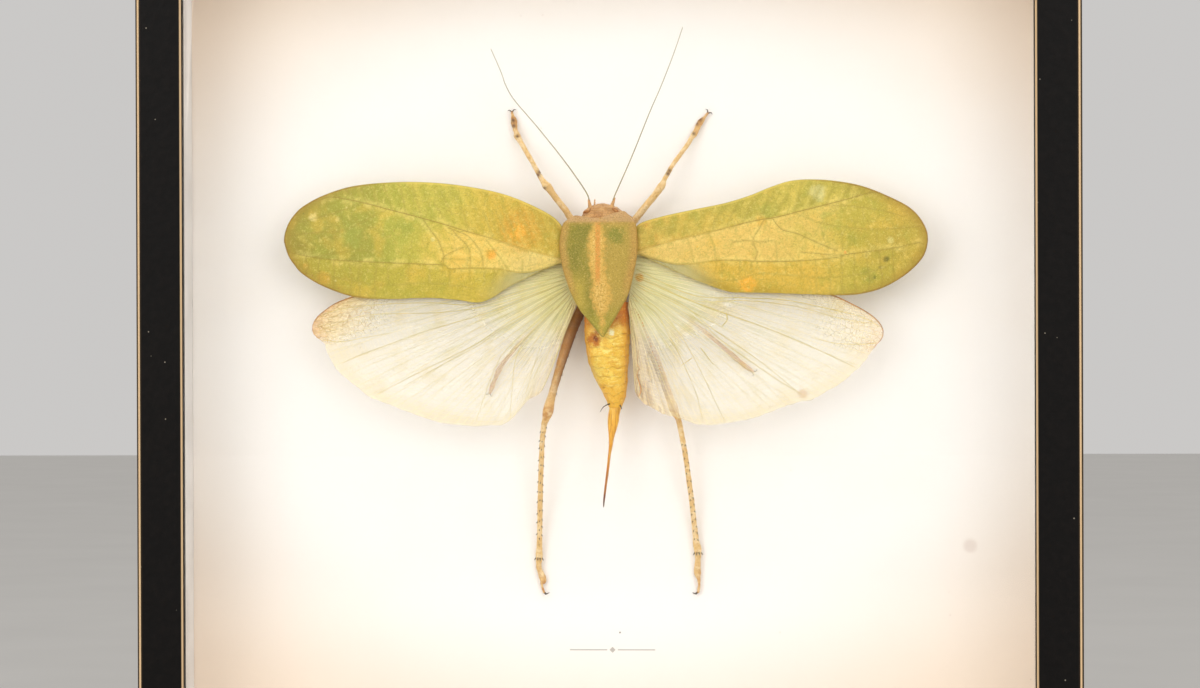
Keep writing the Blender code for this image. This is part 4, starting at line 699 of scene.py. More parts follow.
def wing_membrane(side):
    """A clear, dry hind wing membrane: cream, see-through, rayed, greener and duller at its root, with
    painted sheen lines on its root's pleats.
    """
    made, tree, spot = begin(f"wing_membrane_{side}", INSECT_AT)
    share = node(tree, "Attribute", out="Fac", attribute_name="reach")
    turn = node(tree, "Attribute", out="Fac", attribute_name="turn")
    cloud = node(tree, "TexNoise", {"Vector": spot, "Scale": 0.12, "Detail": 4.0})
    fine = node(tree, "TexNoise", {"Vector": spot, "Scale": 1.1, "Detail": 3.0, "Roughness": 0.7})
    # Rays run from the root to the margin, about 1.4 mm apart there
    fan = node(tree, "CombineXYZ", {0: turn, 1: share})
    rays = node(tree, "Mapping", {"Vector": fan, "Scale": (90.0, 4.0, 1.0)})
    ray = node(tree, "TexNoise", {"Vector": rays, "Scale": 1.0, "Detail": 3.0, "Roughness": 0.6})
    mesh = node(tree, "TexVoronoi", {"Vector": spot, "Scale": 0.5}, feature="DISTANCE_TO_EDGE")
    front = mask(tree, (turn, 0.16, 0.02))
    # The tip's tan skin and its net are strong on the left wing and faint on the right one
    strong = 1.0 if side == "left" else 0.4
    lobe = mask(tree, (turn, 0.45, 0.39), (share, 0.72, 0.96), strong)
    edge = mask(tree, (turn, 0.45, 0.39), (share, 0.93, 1.0), strong)
    webbed = mask(tree, (turn, 0.45, 0.39), (share, 0.62, 0.86), (mesh, 0.06, 0.02), strong)
    root = mask(tree, (share, 0.5, 0.05))
    tail = mask(tree, (turn, 0.76, 0.9)) if side == "right" else mask(tree, (turn, 0.8, 0.97), 0.7)
    rim = mask(tree, (share, 0.88, 1.0), (turn, 0.3, 0.5))
    rayed = mask(tree, (ray, 0.5, 0.62), (share, 1.2, 0.1))
    layers = [
        ("f6e2a6", (cloud, 0.5, 0.66), 0.6),
        ("efd78e", rim, 0.7),
        ("f0dfa6", front, 0.7),
        ("f4d690", lobe, 0.95),
        ("dca456", edge, 0.8),
        ("a8833f", webbed, 0.75),
        ("ddd48c" if side == "left" else "e8e2a4", root, 0.9),
        # Painted highlights: near white sheen lines along the rays of the pleated root
        ("fffbe6", root, (ray, 0.56, 0.66), 0.6),
        ("ecd2a0", tail, 0.8),
        ("c2bc69", rayed, 0.6),
        ("b48c58", tail, (share, 0.2, 0.7), (ray, 0.46, 0.58), 0.8),
        ("8a6446", (fine, 0.56, 0.66), tail, 0.8),
    ]
    marks = [("cf9f50", -27.0, -38.4, 0.8, 3.0, 1.0), ("e3b766", -52.0, -44.0, 0.6, 6.0, 0.6)]
    if side == "right":
        marks = [
            ("bf8128", 49.6, -5.6, 0.4, 1.8, 1.0), ("dca95a", 79.0, -37.2, 1.4, 4.0, 1.0),
            ("e0a743", 15.4, 8.4, 1.6, 3.0, 1.0), ("d9953a", 13.0, 1.4, 0.6, 2.6, 0.8),
            ("8a5f33", 15.0, -30.0, 0.6, 3.0, 0.7)]
    colour = layered(tree, srgb("fffae8"), *layers, *marked(tree, spot, cloud, *marks))
    # Each of the two skins of the membrane lets most light through
    alpha = 0.17
    for fade, gain in ((root, 0.62), (front, 0.1), (lobe, 0.22), (webbed, 0.3),
                       (tail, 0.2), (rim, 0.04), (rayed, 0.12), (fine, 0.06)):
        alpha = node(tree, "Math", {0: fade, 1: gain, 2: alpha}, operation="MULTIPLY_ADD")
    return coat(made, colour, 0.45, [(cloud, 0.2)], Alpha=alpha, Specular_IOR_Level=0.2)


def hindwing_vein():
    """A hind wing's long vein: olive yellow thread, paler towards the margin."""
    made, tree, spot = begin("hindwing_vein", INSECT_AT)
    cloud = node(tree, "TexNoise", {"Vector": spot, "Scale": 0.1, "Detail": 3.0})
    colour = node(tree, "ValToRGB", {0: cloud}, stops=[
        (0.3, "bcae5c"), (0.7, "dfca84"), (0.5, "ccbd6f")])
    return coat(made, colour, 0.5, Specular_IOR_Level=0.3)


def hindwing_net():
    """A hind wing's finest veins: pale straw threads."""
    made, tree, spot = begin("hindwing_net", INSECT_AT)
    cloud = node(tree, "TexNoise", {"Vector": spot, "Scale": 0.1, "Detail": 3.0})
    colour = node(tree, "ValToRGB", {0: cloud}, stops=[
        (0.35, "ddd196"), (0.7, "f4e6b8"), (0.5, "e9dca6")])
    return coat(made, colour, 0.5, Specular_IOR_Level=0.3)


def brown_stain():
    """Dried brown fluid along a fold and a margin of the hind wing."""
    made, tree, spot = begin("brown_stain", INSECT_AT)
    cloud = node(tree, "TexNoise", {"Vector": spot, "Scale": 0.5, "Detail": 3.0})
    colour = node(tree, "ValToRGB", {0: cloud}, stops=[(0.35, "9c6a38"), (0.65, "cc9350")])
    return coat(made, colour, 0.6)


def green_chitin():
    """The shield: matt granular chitin, sage green with a tan border and an ochre middle stripe."""
    made, tree, spot = begin("green_chitin", INSECT_AT)
    rim = node(tree, "Attribute", out="Fac", attribute_name="rim")
    x, z = [node(tree, "SeparateXYZ", {0: spot}, out=i) for i in (0, 2)]
    # Colour varies over 8 mm, 2 mm, the 0.6 mm grains and their own 0.25 mm roughness
    broad, cloud, grain, fine = [
        node(tree, "TexNoise", {"Vector": spot, "Scale": scale, "Detail": detail, "Roughness": blend})
        for scale, detail, blend in ((0.12, 3, 0.5), (0.5, 5, 0.75), (1.7, 3, 0.75), (4.0, 2, 0.7))]
    pits = node(tree, "TexVoronoi", {"Vector": spot, "Scale": 1.2})
    # The stripe's half width and its middle from the tip to the front, as shares of 4 mm
    height = node(tree, "MapRange", {0: z, 1: -12.0, 2: 32.0})
    swell = node(tree, "ValToRGB", {0: height}, stops=[
        (0.0, 0.0), (1.0, 0.3), (0.14, 0.3), (0.27, 0.95), (0.38, 0.9), (0.48, 0.55), (0.56, 0.75),
        (0.7, 0.72), (0.8, 0.95), (0.88, 0.5)])
    drift = node(tree, "ValToRGB", {0: height}, stops=[
        (0.0, 0.75), (1.0, 0.3), (0.35, 0.72), (0.5, 0.5), (0.75, 0.2), (0.88, 0.35)])
    for ramp in (swell, drift):
        ramp.node.color_ramp.interpolation = "B_SPLINE"
    middle = node(tree, "MapRange", {0: drift, 3: -2.0, 4: 2.0})
    off = node(tree, "Math", {0: x, 1: middle}, operation="SUBTRACT")
    aside = node(tree, "Math", {0: off}, operation="ABSOLUTE")
    ragged = node(tree, "Math", {0: cloud, 1: 7.0, 2: aside}, operation="MULTIPLY_ADD")
    frayed = node(tree, "Math", {0: grain, 1: 4.0, 2: ragged}, operation="MULTIPLY_ADD")
    width = node(tree, "Math", {0: swell, 1: 4.2, 2: 4.9}, operation="MULTIPLY_ADD")
    gap = node(tree, "Math", {0: frayed, 1: width}, operation="SUBTRACT")
    line = node(tree, "Math", {0: x, 1: 0.4}, operation="ADD")
    lined = node(tree, "Math", {0: line}, operation="ABSOLUTE")
    wobble = node(tree, "Math", {0: cloud, 1: 3.4, 2: rim}, operation="MULTIPLY_ADD")
    border = mask(tree, (wobble, 6.0, 3.0), (z, -3.0, 8.0))
    colour = layered(
        tree, srgb("8c8531"),
        ("a19238", (broad, 0.42, 0.6), 0.7),
        ("c5a64c", (x, 1.0, 5.0), 0.8),
        *marked(tree, spot, cloud, ("8a8c34", 6.6, 25.0, 3.0, 9.0, 0.85)),
        ("ccb04a", (x, -3.0, -8.0), (z, 15.0, 3.0), 0.75),
        ("ada03c", (z, 0.0, -10.0), 0.8),
        ("e6b556", (gap, 2.0, -0.4), 0.85),
        ("fbdc8a", (gap, 0.6, -1.6), (grain, 0.46, 0.6), 0.65),
        ("e0903a", (lined, 1.5, 0.4), (z, 3.0, 10.0), (grain, 0.36, 0.5), 0.8),
        ("c89d50", border, 0.85),
        ("cfa67a", (z, 29.6, 31.0), (cloud, 0.2, 0.5), 0.75),
        ("f2cf7a", (grain, 0.56, 0.66), 0.45),
        ("6d6728", (grain, 0.44, 0.34), 0.5),
        ("f0d692", (fine, 0.58, 0.68), 0.45),
        ("655d26", (fine, 0.42, 0.32), 0.45),
        ("96582e", border, (pits, 0.28, 0.14), 0.55))
    return coat(made, colour, 0.68, [(cloud, 0.2), (grain, 0.24), (fine, 0.06), (pits, 0.1)],
                Specular_IOR_Level=0.25)


def amber_chitin():
    """The abdomen: dry, waxy, half clear amber chitin with uneven folds, brown stains and a painted
    highlight.
    """
    made, tree, spot = begin("amber_chitin", INSECT_AT)
    x, z = [node(tree, "SeparateXYZ", {0: spot}, out=i) for i in (0, 2)]
    cloud = node(tree, "TexNoise", {"Vector": spot, "Scale": 0.3, "Detail": 4.0, "Roughness": 0.6})
    long = node(tree, "Mapping", {"Vector": spot, "Scale": (0.4, 0.4, 1.2)})
    streak = node(tree, "TexNoise", {"Vector": long, "Scale": 0.8, "Detail": 4.0, "Distortion": 1.2})
    fine = node(tree, "TexNoise", {"Vector": spot, "Scale": 1.6, "Detail": 3.0})
    groove = node(tree, "Attribute", out="Fac", attribute_name="groove")
    colour = layered(
        tree, srgb("f0c54c"),
        ("fbe071", (cloud, 0.48, 0.62), 0.7),
        ("e2a334", (streak, 0.52, 0.66), 0.6),
        ("feed93", (streak, 0.44, 0.34), 0.5),
        ("ea9d28", (x, -1.0, -5.5), 0.6),
        ("e99b2c", (x, 7.0, 10.5), 0.6),
        ("cdb04a", (x, 3.5, -3.0), (z, -20.0, -24.0), (z, -36.0, -30.0), 0.3),
        ("f0b036", (z, -30.0, -38.0), 0.6),
        ("af7123", groove, 0.7),
        ("c2651c", (z, -14.0, -6.0), (cloud, 0.2, 0.45), 0.85),
        *marked(
            tree, spot, cloud,
            ("b8661f", -2.4, -15.8, 2.8, 8.0, 0.9), ("7c3d18", -1.8, -15.2, 0.8, 5.0, 0.85),
            ("8a4a1c", 6.6, -7.6, 0.2, 3.0, 0.8), ("a86020", 1.0, -34.6, 0.2, 3.0, 0.6),
            # The near white mark at x 4.2, z -13.0 is a painted highlight, a glint on the skin
            ("c87b23", 8.8, -9.6, 1.0, 3.4, 0.7), ("fffbd2", 4.2, -13.0, 1.0, 5.0, 0.8),
            ("ac6b23", 5.0, -17.6, 0.2, 1.8, 0.7), ("907b35", 3.4, -28.4, 0.3, 3.0, 0.6)),
        ("fff8ae", (fine, 0.6, 0.72), 0.4),
        ("d2972e", (fine, 0.4, 0.28), 0.4))
    return coat(made, colour, 0.36, [(cloud, 0.35), (streak, 0.3), (fine, 0.1)],
                Subsurface_Weight=0.1, Subsurface_Radius=(1.0, 0.5, 0.2), Subsurface_Scale=0.0015,
                Specular_IOR_Level=0.35)


def orange_blade_chitin():
    """The ovipositor: hard glossy orange-brown chitin that darkens to its tip."""
    made, tree, spot = begin("orange_blade_chitin", INSECT_AT)
    z = node(tree, "SeparateXYZ", {0: spot}, out=2)
    along = node(tree, "MapRange", {0: z, 1: -82.0, 2: -42.0})
    long = node(tree, "Mapping", {"Vector": spot, "Scale": (3.0, 3.0, 0.3)})
    streak = node(tree, "TexNoise", {"Vector": long, "Scale": 0.5, "Detail": 3.0})
    colour = node(tree, "ValToRGB", {0: along}, stops=[
        (0.0, "41240f"), (1.0, "ebb345"), (0.1, "6f3a18"), (0.25, "ad6723"), (0.45, "d58c2e"),
        (0.8, "efb23c")])
    colour = layered(
        tree, colour,
        ("be7d2b", (streak, 0.5, 0.62), 0.6),
        ("fcdd79", (streak, 0.44, 0.34), 0.5))
    return coat(made, colour, 0.36, [(streak, 0.15)], Specular_IOR_Level=0.4)


def tan_chitin(name, base, dark, pale):
    """A leg or head shell: dry tan chitin, speckled brown, low gloss."""
    made, tree, spot = begin(name, INSECT_AT)
    cloud = node(tree, "TexNoise", {"Vector": spot, "Scale": 0.35, "Detail": 3.0})
    grain = node(tree, "TexNoise", {"Vector": spot, "Scale": 1.7, "Detail": 3.0, "Roughness": 0.7})
    pits = node(tree, "TexVoronoi", {"Vector": spot, "Scale": 1.3})
    shade = node(tree, "Attribute", out="Fac", attribute_name="shade")
    warm = node(tree, "Attribute", out="Fac", attribute_name="warm")
    colour = layered(
        tree, srgb(base),
        (pale, (cloud, 0.45, 0.6), 0.6),
        (pale, (grain, 0.48, 0.36), 0.5),
        (dark, (grain, 0.55, 0.65), 0.5),
        (dark, (pits, 0.22, 0.12), 0.5),
        ("b56f2c", warm, 0.85),
        ("cf9550", warm, (cloud, 0.5, 0.4), 0.5),
        # The shade mark: dark spots on the front legs, darker patches on the head, and on the hind thighs
        # partly painted shade
        ("5c3520", shade, 0.9))
    return coat(made, colour, 0.42, [(grain, 0.18), (pits, 0.06)], Specular_IOR_Level=0.3)


def dark_claw():
    """Claws and spine tips: hard, glossy, near black brown chitin."""
    made, tree, spot = begin("dark_claw", INSECT_AT)
    grain = node(tree, "TexNoise", {"Vector": spot, "Scale": 1.5, "Detail": 2.0})
    colour = node(tree, "ValToRGB", {0: grain}, stops=[(0.3, "2b2116"), (0.7, "573d27")])
    return coat(made, colour, 0.35)


def eye_gloss():
    """A dried compound eye: brown, dull, finely faceted."""
    made, tree, spot = begin("eye_gloss", INSECT_AT)
    facets = node(tree, "TexVoronoi", {"Vector": spot, "Scale": 5.0})
    cloud = node(tree, "TexNoise", {"Vector": spot, "Scale": 0.8, "Detail": 2.0})
    colour = node(tree, "ValToRGB", {0: cloud}, stops=[(0.3, "9c6430"), (0.7, "cf9c60")])
    return coat(made, colour, 0.4, [(facets, 0.03)])


# Shapes

def smooth_line(points, count):
    """Evenly spaced points on a smooth curve through the given ones."""
    knots = [Vector(point) for point in points]
    knots = [2 * knots[0] - knots[1], *knots, 2 * knots[-1] - knots[-2]]
    dense = []
    parts = 12
    for i in range(1, len(knots) - 2):
        a, b, c, d = knots[i - 1:i + 3]
        for j in range(parts):
            t = j / parts
            bend = (2 * a - 5 * b + 4 * c - d) * t * t + (3 * b - a - 3 * c + d) * t ** 3
            dense.append(b + ((c - a) * t + bend) / 2)
    dense.append(knots[-2])
    runs = [0.0]
    for before, after in zip(dense, dense[1:]):
        runs.append(runs[-1] + (after - before).length)
    line = []
    k = 0
    for i in range(count):
        goal = runs[-1] * i / (count - 1)
        while k < len(runs) - 2 and runs[k + 1] < goal:
            k += 1
        line.append(dense[k].lerp(dense[k + 1], (goal - runs[k]) / (runs[k + 1] - runs[k])))
    return line


def level_at(line, x):
    """The second coordinate where a line that runs along x passes x."""
    for before, after in zip(line, line[1:]):
        if min(before[0], after[0]) <= x <= max(before[0], after[0]) and before[0] != after[0]:
            return before[1] + (after[1] - before[1]) * (x - before[0]) / (after[0] - before[0])
    nearest = min((line[0], line[-1]), key=lambda point: abs(point[0] - x))
    return nearest[1]


def rough(point, size, depth):
    """A smooth random height of the given depth, with lumps of the given size."""
    return noise.noise(Vector(point) / size) * depth


def ridge(distance, height, width):
    """How high a soft ridge of a height and half width stands at a distance from its line."""
    return height * math.exp(-(distance / width) ** 2)


def sheeted(rows, columns, place, marks):
    """A grid whose points go where place(row, column) puts them, with named marks on its points."""
    bm = bmesh.new()
    bm.loops.layers.uv.new("surface")
    bmesh.ops.create_grid(bm, x_segments=columns, y_segments=rows, size=0.5, calc_uvs=True)
    layers = {name: bm.verts.layers.float.new(name) for name in marks}
    for vert in bm.verts:
        i = round((vert.co.y + 0.5) * rows)
        j = round((vert.co.x + 0.5) * columns)
        vert.co = place(i, j)
        for name, mark in marks.items():
            vert[layers[name]] = mark(i, j, vert.co)
    return bm


def thickened(bm, depth):
    """Give a sheet its far skin, the given depth behind the first."""
    grown = bmesh.ops.extrude_face_region(bm, geom=bm.faces[:], use_keep_orig=True)
    moved = [item for item in grown["geom"] if isinstance(item, bmesh.types.BMVert)]
    bmesh.ops.translate(bm, verts=moved, vec=TO_BOARD * depth)


def lofted(rings, marks=None):
    """A closed skin through rings of points; the seam is merged and the ends are closed."""
    around = len(rings[0])
    bm = sheeted(len(rings) - 1, around, lambda i, j: rings[i][j % around], marks or {})
    bmesh.ops.remove_doubles(bm, verts=bm.verts, dist=1e-4)
    bmesh.ops.holes_fill(bm, edges=[edge for edge in bm.edges if edge.is_boundary])
    return bm


def oval(middle, across, deep, sides):
    """Points round an ellipse with the given half axes."""
    ring = []
    for i in range(sides):
        angle = 2 * math.pi * i / sides
        ring.append(middle + across * math.cos(angle) + deep * math.sin(angle))
    return ring


def limb_rings(stations, count, sides, lumps, lump_size):
    """Rings square to a limb's path, with rounded ends and a lumpy skin."""
    line = smooth_line(stations, count)
    path = [Vector(point[:3]) for point in line]
    step = (path[-1] - path[-2]).length
    rings = []
    for i, point in enumerate(line):
        middle = path[i]
        along = (path[min(i + 1, count - 1)] - path[max(i - 1, 0)]).normalized()
        across = along.cross(TO_BOARD).normalized()
        deep = across.cross(along)
        width, depth = point[3] / 2, point[4] / 2
        end = min(i, count - 1 - i) * step / max(width, 0.01)
        round_off = math.sqrt(max(0.0, 1 - (1 - min(1.0, end)) ** 2))
        ring = oval(middle, across * width * round_off, deep * depth * round_off, sides)
        rings.append([p + (p - middle).normalized() * rough(p, lump_size, lumps) * round_off
                      if (p - middle).length > 1e-4 else p for p in ring])
    return rings


def finished(bm, name, material, stands_for=(), crease=60):
    bmesh.ops.recalc_face_normals(bm, faces=bm.faces)
    bmesh.ops.transform(bm, matrix=INSECT, verts=bm.verts)
    mesh = bpy.data.meshes.new(name)
    bm.to_mesh(mesh)
    bm.free()
    mesh.shade_smooth()
    mesh.set_sharp_from_angle(angle=math.radians(crease))
    mesh.materials.append(material)
    piece = bpy.data.objects.new(name, mesh)
    bpy.context.scene.collection.objects.link(piece)
    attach(piece, "root")
    if stands_for:
        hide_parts(*stands_for)
    return piece


def threads(name, lines, material, sides=0):
    """Many fine round threads as one mesh. A line is a list of (point, half width)."""
    curve = bpy.data.curves.new(name, "CURVE")
    curve.dimensions = "3D"
    curve.bevel_depth = 1.0
    curve.bevel_resolution = sides
    curve.use_fill_caps = True
    for line in lines:
        if len(line) < 2:
            continue
        spline = curve.splines.new("POLY")
        spline.points.add(len(line) - 1)
        for point, (place, radius) in zip(spline.points, line):
            point.co = (*place, 1.0)
            point.radius = radius
    drawn = bpy.data.objects.new(name, curve)
    bpy.context.scene.collection.objects.link(drawn)
    graph = bpy.context.evaluated_depsgraph_get()
    mesh = bpy.data.meshes.new_from_object(drawn.evaluated_get(graph))
    bm = bmesh.new()
    bm.from_mesh(mesh)
    bpy.data.objects.remove(drawn)
    bpy.data.curves.remove(curve)
    bpy.data.meshes.remove(mesh)
    return finished(bm, name, material, crease=180)


def tapered(points, start, end, count):
    """A thread through points whose half width runs from start to end."""
    line = smooth_line(points, count)
    return [(point, start + (end - start) * i / (count - 1)) for i, point in enumerate(line)]


# Forewings

def forewing_level(s, t):
    """How far in the wing lies at a share of its span and of its chord."""
    level = FOREWING_ROOT_Y + (FOREWING_TIP_Y - FOREWING_ROOT_Y) * s
    swell = max(0.0, math.sin(math.pi * min(1.0, 0.12 + 0.88 * s))) ** 0.5
    return level - FOREWING_CAMBER * swell * (1 - (2 * t - 1) ** 2)


def near(lines):
    """A finder of the distance in millimetres from a place on a wing to the nearest of the lines."""
    points = [point for line in lines for point in line]
    tree = kdtree.KDTree(len(points))
    for i, (x, z) in enumerate(points):
        tree.insert((x, 0, z), i)
    tree.balance()
    return lambda x, z: tree.find((x, 0, z))[2]


def route(points, spacing=0.5):
    """A smooth line through points of a wing, with its points about that far apart."""
    knots = [Vector(point) for point in points]
    length = sum((b - a).length for a, b in zip(knots, knots[1:]))
    return smooth_line(knots, max(6, int(length / spacing)))


def laid(skin, line, start, end):
    """A thread that follows a line on a wing's skin, with its half width at the two ends."""
    drawn = []
    for i, (x, z) in enumerate(line):
        hit = skin.ray_cast(Vector((x, -40, z)), TO_BOARD)[0]
        if hit:
            radius = start + (end - start) * i / (len(line) - 1)
            drawn.append((hit + TO_BOARD * radius * 0.5, radius))
    return drawn


def rungs(reach, lean, upper, lower, outward):
    """Crooked cross veins between two lines of a forewing. The reach is start, stop and pitch."""
    start, stop, pitch = reach
    lines = []
    for k in range(int(abs(stop - start) / pitch) + 1):
        x = start + outward * pitch * k + rough((k * 7.3, start, 0), 1.0, pitch * 0.25)
        top = x + outward * lean
        bend = rough((k * 3.1, 9, start), 1.0, 1.2)
        high = Vector((top, level_at(upper, top)))
        foot = Vector((x, level_at(lower, x)))
        if high.y - foot.y < 2.0:
            continue
        line = [foot]
        for m in range(1, 5):
            crook = rough((k * 4.1, m * 1.9, start), 1.0, 1.1) + bend * math.sin(math.pi * m / 5)
            line.append(foot.lerp(high, m / 5) + Vector((crook, 0)))
        lines.append(route([*line, high]))
    return lines


def forewing(name, material, vein_material, net_material):
    """A leathery front wing with its raised veins."""
    wing = FOREWINGS[name]
    spans, chords = 250, 84
    lead = smooth_line(wing["lead"], spans + 1)
    trail = smooth_line(wing["trail"], spans + 1)
    main, second = route(wing["main"]), route(wing["second"])
    side = [(radius, route(points)) for radius, points in wing["side"]]
    outward = 1 if lead[-1][0] > 0 else -1
    cross = [route(points) for points in wing["cross"]]
    cross += rungs(wing["costal_rungs"], 4.0, lead, main, outward)
    cross += rungs(wing["low_rungs"], -0.6, second, trail, outward)
    to_rim = near([lead, trail])
    to_long = near([main, second, *[line for _, line in side]])
    to_cross = near(cross)

    def place(i, j):
        s, t = i / spans, j / chords
        x, z = lead[i].lerp(trail[i], t)
        inside = min(1.0, 6 * t, 6 * (1 - t), 6 * (1 - s))
        y = forewing_level(s, t) + rough((x, 0, z), 9.0, 0.35 * inside)
        # The skin sinks a little between the veins
        raised = ridge(to_long(x, z), 0.14, 0.9) + ridge(to_cross(x, z), 0.05, 0.7)
        return Vector((x, y + rough((x, 5, z), 2.5, 0.12 * inside) - raised * inside, z))

    marks = {
        "over_main": lambda i, j, point: point.z - level_at(main, point.x),
        "over_second": lambda i, j, point: point.z - level_at(second, point.x),
        "edge": lambda i, j, point: to_rim(point.x, point.z),
        "by_long": lambda i, j, point: to_long(point.x, point.z),
        "by_cross": lambda i, j, point: to_cross(point.x, point.z),
    }
    bm = sheeted(spans, chords, place, marks)
    bmesh.ops.remove_doubles(bm, verts=bm.verts, dist=1e-3)
    skin = BVHTree.FromBMesh(bm)
    thickened(bm, FOREWING_THICK)
    finished(bm, name, material, [name])

    veins = [laid(skin, main, 0.24, 0.12), laid(skin, second, 0.14, 0.07)]
    veins += [laid(skin, line, radius * 0.6, radius * 0.3) for radius, line in side]
    net = [laid(skin, line, 0.06, 0.04) for line in cross]
    for edge, t, radius in ((lead, 0.0, 0.2), (trail, 1.0, 0.16)):
        rim_line = []
        for i in range(4, spans + 1, 2):
            x, z = edge[i]
            y = forewing_level(i / spans, t) + FOREWING_THICK / 2
            rim_line.append((Vector((x, y, z)), radius * (1 - 0.5 * i / spans)))
        net.append(rim_line)
    threads(name + "_veins", veins, vein_material)
    threads(name + "_net", net, net_material)


# Hind wings

def hindwing(name, material, vein_material, net_material, stain_material):
    """A see-through hind wing, pleated at its root, with its fan of veins and fine cross veins."""
    hub, margin = HINDWINGS[name]
    turns, steps = PLEATS * 12, 70
    roots = smooth_line(hub, turns + 1)
    rims = smooth_line(margin, turns + 1)

    def on_wing(s, t):
        """The place on the wing at a share of the turn and of the reach."""
        k = min(turns - 1e-6, max(0.0, s * turns))
        i = int(k)
        start = roots[i].lerp(roots[i + 1], k - i)
        stop = rims[i].lerp(rims[i + 1], k - i)
        x, z = start.lerp(stop, t)
        lift = HINDWING_LIFT * s * min(1.0, 1.6 * t)
        # Folds are deep near the root and near the body, and die out towards the margin
        flat = max(0.0, 1 - t / (0.62 + 0.3 * max(0.0, s - 0.7) / 0.3))
        deep = PLEAT_DEPTH * min(1.0, 6 * t + 0.2) * flat * (0.8 + 0.4 * s)
        y = HINDWING_Y - lift + deep * math.cos(2 * math.pi * PLEATS * s)
        return Vector((x, y + rough((x, 0, z), 7.0, 0.3 * t), z))

    def place(i, j):
        s, t = i / turns, j / steps
        point = on_wing(s, t)
        # Past the bound tip the last tenth of the reach is uneven, so the margin looks frayed
        if t > 0.9 and s > TIP_END:
            frayed = rough((point.x, 3, point.z), 1.1, 0.5) + rough((point.x, 8, point.z), 4.0, 0.7)
            point += (on_wing(s, 1.0) - on_wing(s, 0.8)).normalized() * frayed * (t - 0.9) * 10
        return point

    marks = {
        "turn": lambda i, j, point: i / turns,
        "reach": lambda i, j, point: j / steps,
    }
    bm = sheeted(turns, steps, place, marks)
    skin = BVHTree.FromBMesh(bm)
    thickened(bm, HINDWING_THICK)
    finished(bm, name, material, [name])

    strong = [laid(skin, route(points, 1.5), start, end)
              for points, start, end in HINDWING_VEINS[name]]
    threads(name + "_veins", strong, vein_material)

    tip = [on_wing(i / turns, 1.0) for i in range(int(turns * TIP_START), int(turns * TIP_END), 2)]
    stains = hindwing_stains(name, skin, tip)
    threads(name + "_stains", stains, stain_material)

    net = []
    for k in range(FAN_VEINS):
        i = int(k / FAN_VEINS * turns)
        net += [fan_vein(on_wing, k), fork_vein(on_wing, k),
                *cross_veins(on_wing, k, (rims[i] - roots[i]).length)]
    net.append(fan_vein(on_wing, FAN_VEINS))
    threads(name + "_net", net, net_material)


def hindwing_stains(name, skin, tip):
    """The tan binding of the tip, thin at both ends, and the right wing's dried brown lines."""
    lines = [[(point, 0.08 + 0.16 * math.sin(math.pi * k / len(tip)))
              for k, point in enumerate(tip)]]
    if name.endswith("right"):
        lines.append(laid(skin, route(MARGIN_LINE[0], 0.6), *MARGIN_LINE[1:]))
        # The fold's line is broken up into beads of uneven width
        beads = laid(skin, route(BEAD_LINE[0], 0.3), *BEAD_LINE[1:])
        for i in range(2, len(beads) - 2, 4):
            lines.append([(point, width * (0.7 + noise.noise(point * 3)))
                          for point, width in beads[i:i + 3]])
    return lines


def fan_vein(on_wing, k):
    """A fine vein from the root to the margin, swaying a little."""
    line, steps = [], 46
    for j in range(steps + 1):
        t = j / steps
        s = k / FAN_VEINS + rough((k * 5.0, t * 3.0, 0), 1.0, 0.006) * t
        line.append((on_wing(min(1.0, max(0.0, s)), t), 0.06 * (1.2 - 0.5 * t)))
    return line


def fork_vein(on_wing, k):
    """A finer vein that leaves a long one part of the way out and runs between it and the next."""
    start = min(0.85, max(0.3, 0.55 + 0.8 * noise.noise(Vector((k * 2.7, 0.5, 1.5)))))
    line, steps = [], 19
    for j in range(steps + 1):
        t = start + (1 - start) * j / steps
        aside = (0.5 / FAN_VEINS) * min(1.0, (t - start) * 4)
        line.append((on_wing(k / FAN_VEINS + aside, t), 0.045 * (1.2 - 0.4 * t)))
    return line


def cross_veins(on_wing, k, length):
    """Short, uneven veins that bridge a long vein of the given length and the next one."""
    first, last = 0.24 + 0.25 * noise.noise(Vector((k * 4.1, 6.5, 0.5))), 0.98
    count = int(length * (last - first) / CROSS_PITCH)
    lines = []
    for c in range(count):
        jump = c + 0.5 + 0.35 * noise.noise(Vector((k * 1.7, c * 0.9, 3.0)))
        t = first + (last - first) * jump / count
        slip = 0.004 * noise.noise(Vector((k * 3.3, c * 1.9, 7.0)))
        lines.append([(on_wing(k / FAN_VEINS + j / 3 / FAN_VEINS, t + slip * j), 0.03)
                      for j in range(4)])
    return lines


# Body

def brow_rise(u):
    """How far the shield's front edge juts, from its left rim at -1 to its right one at 1."""
    place = (u + 1) * (len(SHIELD_BROW) - 1) / 2
    k = min(len(SHIELD_BROW) - 2, int(place))
    share = place - k
    share = share * share * (3 - 2 * share)
    return SHIELD_BROW[k] * (1 - share) + SHIELD_BROW[k + 1] * share


def shield_side(z, half, rim_y):
    """Half a section under the rim: lobe and chest in front, the thin free edge behind them."""
    under = rim_y + SHIELD_EDGE
    if z > CHEST_END:
        waist = half * LOBE_WAIST
        return [(half, rim_y), (0.93 * half, under), (waist, under + 1.2), (waist, LOBE_BOTTOM),
                (CHEST_HALF, CHEST_BOTTOM), (0.0, CHEST_BOTTOM)]
    thin = max(0.0, 1 - SHIELD_EDGE / half)
    return [(half, rim_y), (thin * half, under), (0.75 * half, under - 0.1),
            (0.5 * half, under - 0.4), (0.2 * half, under - 0.5), (0.0, under - 0.5)]


